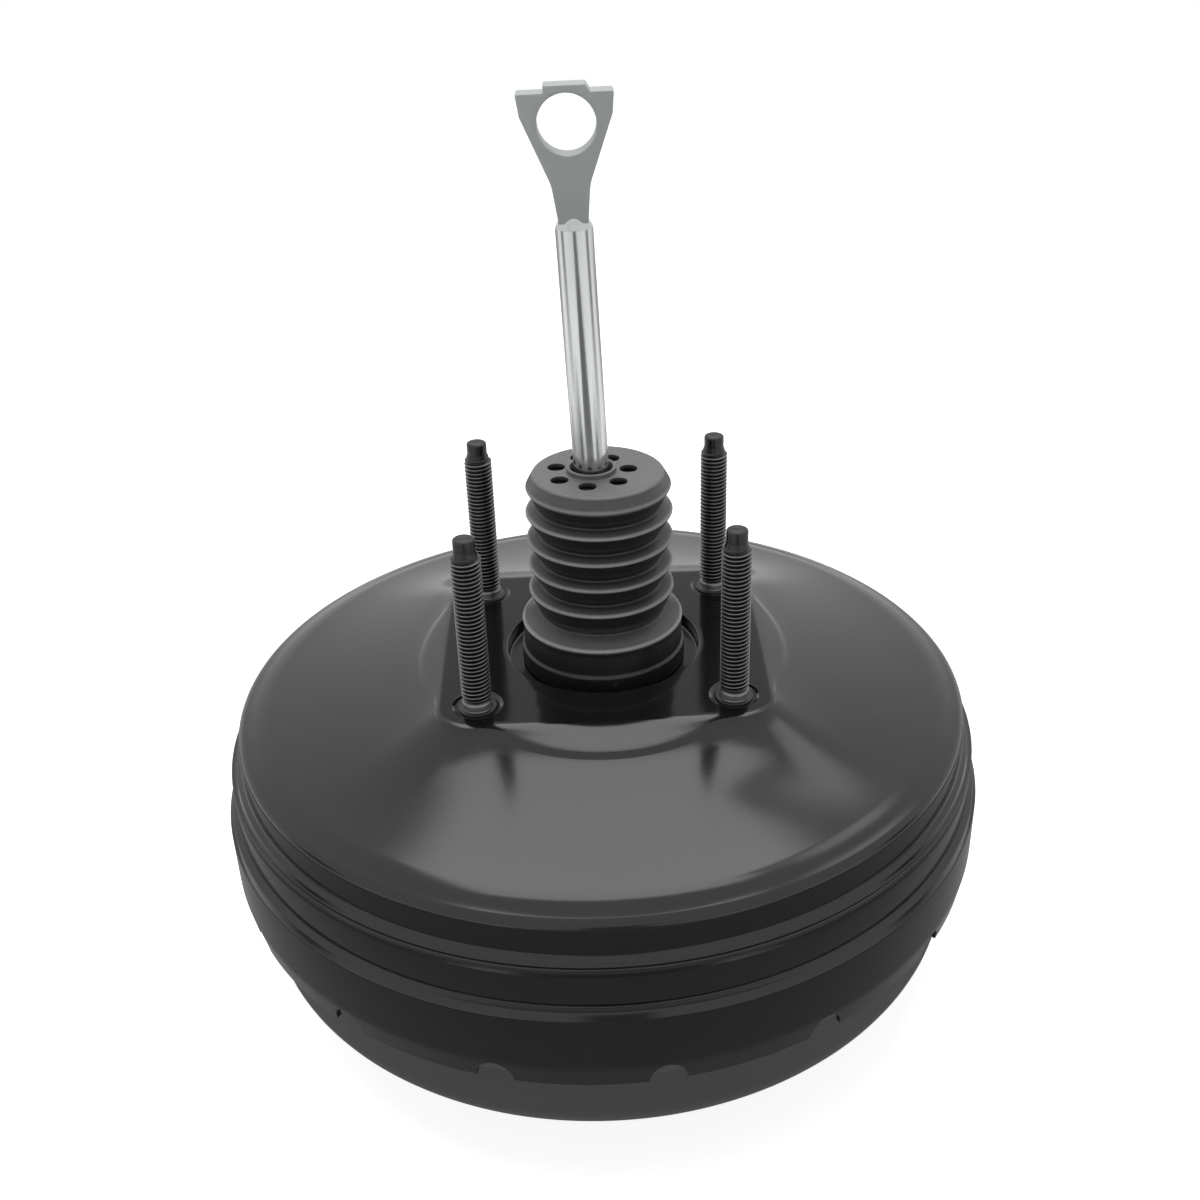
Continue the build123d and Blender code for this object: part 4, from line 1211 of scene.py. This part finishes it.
@dataclass
class Pushrod:
    """Pushrod with its ball, collar and flattened eye, in millimetres."""

    ball_r: float = 6.4
    ball_z: float = 2.0
    neck_r: float = 5.2
    shank_r: float = 6.0
    steps: int = 72
    eye_half_t: float = 4.2
    eye_z: float = 181.5
    eye_hole_r: float = 9.0
    eye_round: float = 0.4
    lean: float = -1.9
    outline: tuple[Corner, ...] = (
        Corner(4.6, 151.9), Corner(6.0, 163.8, 15.0, 10), Corner(14.0, 184.2, 1.4, 4),
        Corner(14.7, 190.6, 0.6, 3), Corner(7.6, 190.6, 0.4, 3), Corner(6.3, 192.7, 0.4, 3),
        Corner(-6.3, 192.7, 0.4, 3), Corner(-6.3, 190.6, 0.3, 3), Corner(-14.7, 190.6, 0.6, 3),
        Corner(-14.0, 184.2, 1.4, 4), Corner(-6.0, 163.8, 15.0, 10), Corner(-4.6, 151.9),
    )

    def build(self) -> Object:
        """Build and dress the rod.

        Returns:
            The finished object.
        """
        eye = self._eye()
        mesh = bmesh.new()
        lathe(mesh, self._shank(), self.steps)
        bmesh.ops.recalc_face_normals(mesh, faces=mesh.faces)
        turned_faces = set(mesh.faces)
        mesh.from_mesh(eye.data)
        plate = [face for face in mesh.faces if face not in turned_faces]
        for face in plate:
            face.material_index = 1
        verts = list(dict.fromkeys(vert for face in plate for vert in face.verts))
        bmesh.ops.scale(mesh, vec=(1 / MM, 1 / MM, 1 / MM), verts=verts)
        bpy.data.objects.remove(eye)
        turn = Matrix.Rotation(math.radians(self.lean), 3, "Y")
        bmesh.ops.rotate(mesh, cent=(0, 0, self.ball_z), matrix=turn, verts=mesh.verts)
        piece = make_object("pushrod_forged", mesh, (Finishes.ROD_STEEL, Finishes.EYE_STEEL))
        smooth(piece, 35.0)
        piece.visible_glossy = False
        return settle(piece, Body.PUSHROD, Finishes.ROD_STEEL, "pushrod")

    def _shank(self) -> list[Point]:
        """Turned profile from the ball to the cone under the eye.

        Returns:
            Points as (radius, height).
        """
        neck = self.neck_r
        meet = math.asin(neck / self.ball_r)
        ball = []
        for step in range(15):
            angle = math.pi - (math.pi - meet) * step / 14
            ball.append((self.ball_r * math.sin(angle), self.ball_z + self.ball_r * math.cos(angle)))
        rest = rounded_path(
            (
                Corner(neck, 7.0), Corner(neck, 12.0, 0.6, 3), Corner(self.shank_r, 15.0, 0.6, 3),
                Corner(self.shank_r, 47.5), Corner(7.2, 47.5, 0.3, 3), Corner(7.2, 49.5, 0.3, 3),
                Corner(self.shank_r, 49.5), Corner(self.shank_r, 150.2, 1.2, 6), Corner(4.2, 153.6),
                Corner(0.0, 153.6),
            )
        )
        return ball + rest

    def _eye(self) -> Object:
        """Flattened plate with its hole and rounded edges.

        Returns:
            A loose object in metres.
        """
        mesh = bmesh.new()
        verts = [mesh.verts.new((across, self.eye_half_t, up)) for across, up in rounded_path(self.outline)]
        face = mesh.faces.new(verts)
        grown = bmesh.ops.extrude_face_region(mesh, geom=[face])["geom"]
        moved = [item for item in grown if isinstance(item, BMVert)]
        bmesh.ops.translate(mesh, verts=moved, vec=(0, -2 * self.eye_half_t, 0))
        bmesh.ops.recalc_face_normals(mesh, faces=mesh.faces)
        rim = [edge for edge in mesh.edges if abs(edge.verts[0].co.y - edge.verts[1].co.y) < 1e-4]
        bmesh.ops.bevel(
            mesh, geom=rim, offset=self.eye_round, offset_type="OFFSET", affect="EDGES", segments=3,
            profile=0.5, material=-1, clamp_overlap=True,
        )
        plate = make_object("eye_plate", mesh, ())
        holes = bmesh.new()
        across = self.eye_half_t
        hole = [
            Corner(0.0, -across - 0.4), Corner(self.eye_hole_r + 0.7, -across - 0.4),
            Corner(self.eye_hole_r, -across + 0.3, 0.2, 3),
            Corner(self.eye_hole_r, across - 0.3, 0.2, 3), Corner(self.eye_hole_r + 0.7, across + 0.4),
            Corner(0.0, across + 0.4),
        ]
        lathe(holes, rounded_path(hole), 96)
        bmesh.ops.recalc_face_normals(holes, faces=holes.faces)
        bmesh.ops.rotate(holes, verts=holes.verts, matrix=Matrix.Rotation(math.pi / 2, 3, "X"))
        bmesh.ops.translate(holes, verts=holes.verts, vec=(0, 0, self.eye_z))
        cut_holes(plate, holes)
        return plate


@dataclass
class CheckValve:
    """Check valve's moulded body on the front face, in millimetres."""

    nipple_z: float = -119.35
    body: tuple[Corner, ...] = (
        Corner(3.5, -102.1), Corner(6.5, -102.1, 0.6, 3), Corner(6.5, -111.6),
        Corner(12.0, -111.6, 0.5, 3), Corner(12.0, -113.6, 0.5, 3), Corner(10.5, -113.6, 0.4, 3),
        Corner(10.5, -124.6, 1.2, 5), Corner(0.0, -124.6), Corner(0.0, -122.6),
        Corner(8.5, -122.6, 0.4, 3), Corner(8.5, -114.6, 0.4, 3), Corner(3.5, -114.6),
    )
    spigot: tuple[Corner, ...] = (
        Corner(3.0, 9.6), Corner(6.5, 9.6), Corner(6.5, 14.0, 0.6, 3), Corner(5.0, 14.0, 0.4, 3),
        Corner(5.0, 34.0, 0.8, 4), Corner(3.0, 34.0, 0.3, 3),
    )

    def build(self) -> Object:
        """Build and dress the valve body.

        Returns:
            The finished object.
        """
        mesh = bmesh.new()
        lathe(mesh, rounded_path(self.body, True), 72, True)
        flat = [face for face in mesh.faces if face.calc_area() < 1e-9]
        bmesh.ops.delete(mesh, geom=flat, context="FACES")
        pipe = lathe(mesh, rounded_path(self.spigot, True), 56, True)
        bmesh.ops.rotate(mesh, verts=pipe, matrix=Matrix.Rotation(-math.pi / 2, 3, "X"))
        bmesh.ops.translate(mesh, verts=pipe, vec=(0, 0, self.nipple_z))
        bmesh.ops.translate(mesh, verts=mesh.verts, vec=(*VALVE_PLACE, 0))
        bmesh.ops.recalc_face_normals(mesh, faces=mesh.faces)
        piece = make_object("check_valve_moulding", mesh, (Finishes.BLACK_PLASTIC,))
        smooth(piece, 35.0)
        return settle(piece, Body.HOUSING, Finishes.BLACK_PLASTIC, "check_valve_body")


class Springs:
    """Coil springs, wound from round wire in millimetres."""
    def build(self) -> list[Object]:
        """Wind all four springs.

        Returns:
            The finished objects.
        """
        piston = self._wind("return_spring", (70.0, 32.0), (-104.9, -71.2), 5, 3.4, Body.HOUSING)
        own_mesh(piston)
        rod = self._wind("rod_return_spring", (13.9, 8.9), (30.9, 44.5), 4, 1.6, Body.PISTON)
        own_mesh(rod)
        span = self._between_ends("poppet_spring", 1.0)
        poppet = self._wind("poppet_spring", (9.5, 9.5), span, 3, 1.0, Body.PISTON)
        span = self._between_ends("check_valve_spring", 0.8)
        check = self._wind("check_valve_spring", (4.0, 4.0), span, 3, 0.8, Body.HOUSING, VALVE_PLACE)
        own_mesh(check)
        return [piston, rod, poppet, check]

    @staticmethod
    def _between_ends(node: str, wire: float) -> Point:
        """Heights of the wire's middle at the two ends of a node."""
        low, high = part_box(node)
        return (low.z / MM + wire / 2, high.z / MM - wire / 2)

    @staticmethod
    def _wind(
        node: str, radii: Point, heights: Point, turns: int, wire: float, body: Body,
        place: Point = (0.0, 0.0),
    ) -> Object:
        """Wind one spring and let it ride.

        Args:
            node: Node that it stands for.
            radii: Radius at the foot and at the top.
            heights: Height at the foot and at the top.
            turns: Number of turns.
            wire: Diameter of the wire.
            body: Body that it rides on.
            place: Middle of the spring.

        Returns:
            The finished object.
        """
        mesh = bmesh.new()
        coil(mesh, radii, heights, turns, wire)
        bmesh.ops.translate(mesh, verts=mesh.verts, vec=(*place, 0))
        piece = make_object(f"{node}_wound", mesh, (Finishes.SPRING_STEEL,))
        smooth(piece, 50.0)
        return settle(piece, body, Finishes.SPRING_STEEL, node)


@dataclass
class Diaphragms:
    """Rubber skins that roll between the housing and the power piston."""

    ramps: dict[str, Point] = field(
        default_factory=lambda: {"rear_diaphragm": (-0.036, -0.025), "front_diaphragm": (-0.0613, -0.062)}
    )

    def build(self, nodes: dict[str, Object]) -> list[Object]:
        """Copy each skin's solid, merge it and put it in the place of its node.

        Args:
            nodes: Nodes of the frame by name.

        Returns:
            The finished objects.
        """
        made = []
        for name, (start, end) in self.ramps.items():
            mesh = bmesh.new()
            mesh.from_mesh(nodes[name].data)
            bmesh.ops.remove_doubles(mesh, verts=mesh.verts, dist=1e-6)
            bmesh.ops.scale(mesh, vec=(1 / MM, 1 / MM, 1 / MM), verts=mesh.verts)
            piece = make_object(f"{name}_skin", mesh, (Finishes.SEAL_RUBBER,))
            smooth(piece, 35.0)
            made.append(bend(piece, start, end, Finishes.SEAL_RUBBER, name))
        return made


@dataclass(frozen=True)
class Card:
    """A flat card of the studio, in metres, that faces the object."""

    name: str
    place: Colour
    size: Point
    strength: float
    flat: bool = False
    soft: float = 0.3

    def build(self) -> Object:
        """Make the card, which only reflections show.

        Returns:
            The card.
        """
        mesh = bmesh.new()
        mesh.loops.layers.uv.new("card")
        bmesh.ops.create_grid(mesh, x_segments=1, y_segments=1, size=0.5, calc_uvs=True)
        bmesh.ops.scale(mesh, vec=(self.size[0], self.size[1], 1), verts=mesh.verts)
        if not self.flat:
            turn = Vector(self.place).to_track_quat("Z", "Y").to_matrix()
            bmesh.ops.rotate(mesh, verts=mesh.verts, matrix=turn)
        bmesh.ops.translate(mesh, verts=mesh.verts, vec=self.place)
        made = link_mesh(self.name, mesh)
        made.data.materials.append(self._glow())
        made.visible_camera = False
        made.visible_diffuse = False
        made.visible_shadow = False
        return made

    def _glow(self) -> bpy.types.Material:
        """Emission of the card's strength that fades into the white surroundings at its edges.

        Returns:
            The card's material.
        """
        made = bare_material(self.name)
        tree = made.node_tree
        place = add_node(tree, "UVMap", {}, uv_map="card").outputs["UV"]
        split = add_node(tree, "SeparateXYZ", {"Vector": place}).outputs
        inside = math_node(tree, "MULTIPLY", self._edge(tree, split["X"]), self._edge(tree, split["Y"]))
        level = map_range(tree, inside, (1.0, self.strength), 0.0, 1.0)
        glow = add_node(tree, "Emission", {"Strength": level}).outputs["Emission"]
        add_node(tree, "OutputMaterial", {"Surface": glow})
        return made

    def _edge(self, tree: Tree, place: Socket) -> Socket:
        """Soft fade towards both edges of the card in one direction.

        Args:
            tree: Node tree to add to.
            place: Place from 0 to 1 across the card.

        Returns:
            1 in the middle, 0 at the edges.
        """
        off = math_node(tree, "ABSOLUTE", math_node(tree, "SUBTRACT", place, 0.5))
        feeds = {"Value": off, "From Min": 0.5, "From Max": 0.5 - self.soft}
        return add_node(tree, "MapRange", feeds, interpolation_type="SMOOTHSTEP").outputs["Result"]


@dataclass(frozen=True)
class Lamp:
    """A rectangular softbox that faces the object, in metres."""

    name: str
    place: Colour
    size: Point
    radiance: float

    def build(self) -> Object:
        """Make the softbox.

        Returns:
            The lamp.
        """
        data = bpy.data.lights.new(self.name, "AREA")
        data.shape = "RECTANGLE"
        data.size, data.size_y = self.size
        data.energy = self.radiance * 4 * self.size[0] * self.size[1]
        lamp = bpy.data.objects.new(self.name, data)
        lamp.location = self.place
        lamp.rotation_euler = Vector(self.place).to_track_quat("Z", "Y").to_euler()
        lamp.visible_glossy = False
        bpy.context.scene.collection.objects.link(lamp)
        return lamp


@dataclass
class Studio:
    """Pale floor, white surroundings, soft light and the camera."""

    floor_z: float = -0.1409
    floor_size: float = 4.0
    floor_tone: float = 0.86
    floor_glow: float = 0.86
    lit_level: float = 0.22
    camera_place: Colour = (-0.00421, -0.44011, 0.26104)
    camera_turn: Colour = (60.909, 0.0, -4.477)
    lens: float = 42.135
    shift_x: float = -0.0721
    cards: tuple[Card, ...] = (
        Card("dark_flag_behind", (0.0, 0.9, 0.56), (0.95, 0.5), 0.5, soft=0.15),
        Card("bright_card_above", (0.0, 0.6, 1.12), (0.9, 0.76), 3.4, soft=0.14),
        Card("bright_card_right", (0.56, 0.5, 0.98), (0.42, 0.5), 2.4, soft=0.35),
        Card("grey_floor_near", (0.0, -0.06, -0.1388), (1.1, 0.8), 0.3, flat=True, soft=0.12),
        Card("grey_floor_front", (0.0, -1.1, -0.139), (0.5, 1.7), 0.2, flat=True, soft=0.12),
        Card("grey_floor_behind", (0.0, 1.0, -0.139), (2.4, 1.2), 0.45, flat=True, soft=0.2),
        Card("grey_card_behind_camera", (0.0, -1.95, 0.3), (0.8, 1.0), 0.3),
        Card("left_side_flag", (-0.6, -0.12, 0.02), (0.3, 0.34), 0.15, soft=0.5),
        Card("right_side_flag", (0.6, -0.12, 0.02), (0.3, 0.34), 0.15, soft=0.5),
    )
    lamps: tuple[Lamp, ...] = (
        Lamp("overhead_rear_softbox", (0.0, 0.6, 1.15), (0.8, 0.6), 2.4),
        Lamp("top_softbox", (-0.1, -0.15, 1.4), (1.0, 1.0), 2.4),
    )

    def build(self) -> None:
        """Set up the whole studio."""
        bpy.context.scene.view_settings.view_transform = "Standard"
        self._world()
        self._floor()
        for card in self.cards:
            card.build()
        for lamp in self.lamps:
            lamp.build()
        self._camera()

    @staticmethod
    def _white_rays(tree: Tree) -> Socket:
        """Share of rays that show the white surroundings: camera, glossy and transmission.

        Args:
            tree: Node tree to add to.

        Returns:
            1 for those rays and 0 for the others.
        """
        path = add_node(tree, "LightPath", {}).outputs
        share = math_node(tree, "MAXIMUM", path["Is Camera Ray"], path["Is Glossy Ray"])
        return math_node(tree, "MAXIMUM", share, path["Is Transmission Ray"])

    def _world(self) -> None:
        """White surroundings for what is seen, a plain level for what is lit."""
        world = bpy.data.worlds.new("studio_white")
        bpy.context.scene.world = world
        world.use_nodes = True
        tree = world.node_tree
        white = (1.0, 1.0, 1.0, 1.0)
        lit = tree.nodes["Background"]
        connect(tree, lit, {"Color": white, "Strength": self.lit_level})
        seen = add_node(tree, "Background", {"Color": white, "Strength": 1.0})
        rays = self._white_rays(tree)
        mix = add_node(tree, "MixShader", {"Fac": rays, 1: lit.outputs[0], 2: seen.outputs[0]})
        connect(tree, tree.nodes["World Output"], {"Surface": mix.outputs["Shader"]})

    def _floor(self) -> None:
        """Pale floor that glows to white where it is seen and keeps a faint shadow."""
        mesh = bmesh.new()
        bmesh.ops.create_grid(mesh, x_segments=1, y_segments=1, size=self.floor_size / 2)
        bmesh.ops.translate(mesh, verts=mesh.verts, vec=(0, 0, self.floor_z))
        floor = link_mesh("pale_floor", mesh)
        made = bare_material("pale_floor")
        tree = made.node_tree
        tone = (self.floor_tone, self.floor_tone, self.floor_tone, 1.0)
        pale = add_node(tree, "BsdfDiffuse", {"Color": tone}).outputs["BSDF"]
        glow = add_node(tree, "Emission", {"Strength": self.floor_glow}).outputs["Emission"]
        both = add_node(tree, "AddShader", {0: pale, 1: glow}).outputs["Shader"]
        mix = add_node(tree, "MixShader", {"Fac": self._white_rays(tree), 1: pale, 2: both})
        add_node(tree, "OutputMaterial", {"Surface": mix.outputs["Shader"]})
        floor.data.materials.append(made)

    def _camera(self) -> None:
        """Camera at the photograph's viewing angle."""
        data = bpy.data.cameras.new("photo_camera")
        data.lens = self.lens
        data.sensor_width = 36.0
        data.shift_x = self.shift_x
        camera = bpy.data.objects.new("photo_camera", data)
        camera.location = self.camera_place
        camera.rotation_euler = tuple(math.radians(turn) for turn in self.camera_turn)
        bpy.context.scene.collection.objects.link(camera)
        bpy.context.scene.camera = camera


def dress_nodes(nodes: dict[str, Object]) -> None:
    """Give the kept nodes their finishes.

    Args:
        nodes: Nodes of the frame by name.
    """
    for finish, names in NODE_FINISHES.items():
        for name in names:
            slots = nodes[name].data.materials
            slots.clear()
            slots.append(finish.value.material())
            LOG.info("%s keeps its solid, in %s", name, finish.value.name)


def main() -> None:
    """Build the booster's pieces in order and report each."""
    logging.basicConfig(level=logging.INFO, format="%(name)s: %(message)s")
    for leftover in list(bpy.data.objects):
        bpy.data.objects.remove(leftover)
    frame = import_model()
    nodes = frame["nodes"]
    dress_nodes(nodes)
    RearShell().build()
    FrontShell().build()
    firewall_studs().build()
    master_cylinder_studs().build()
    DustBoot().build()
    Pushrod().build()
    CheckValve().build()
    Springs().build()
    Diaphragms().build(nodes)
    Studio().build()


if __name__ == "__main__":
    main()
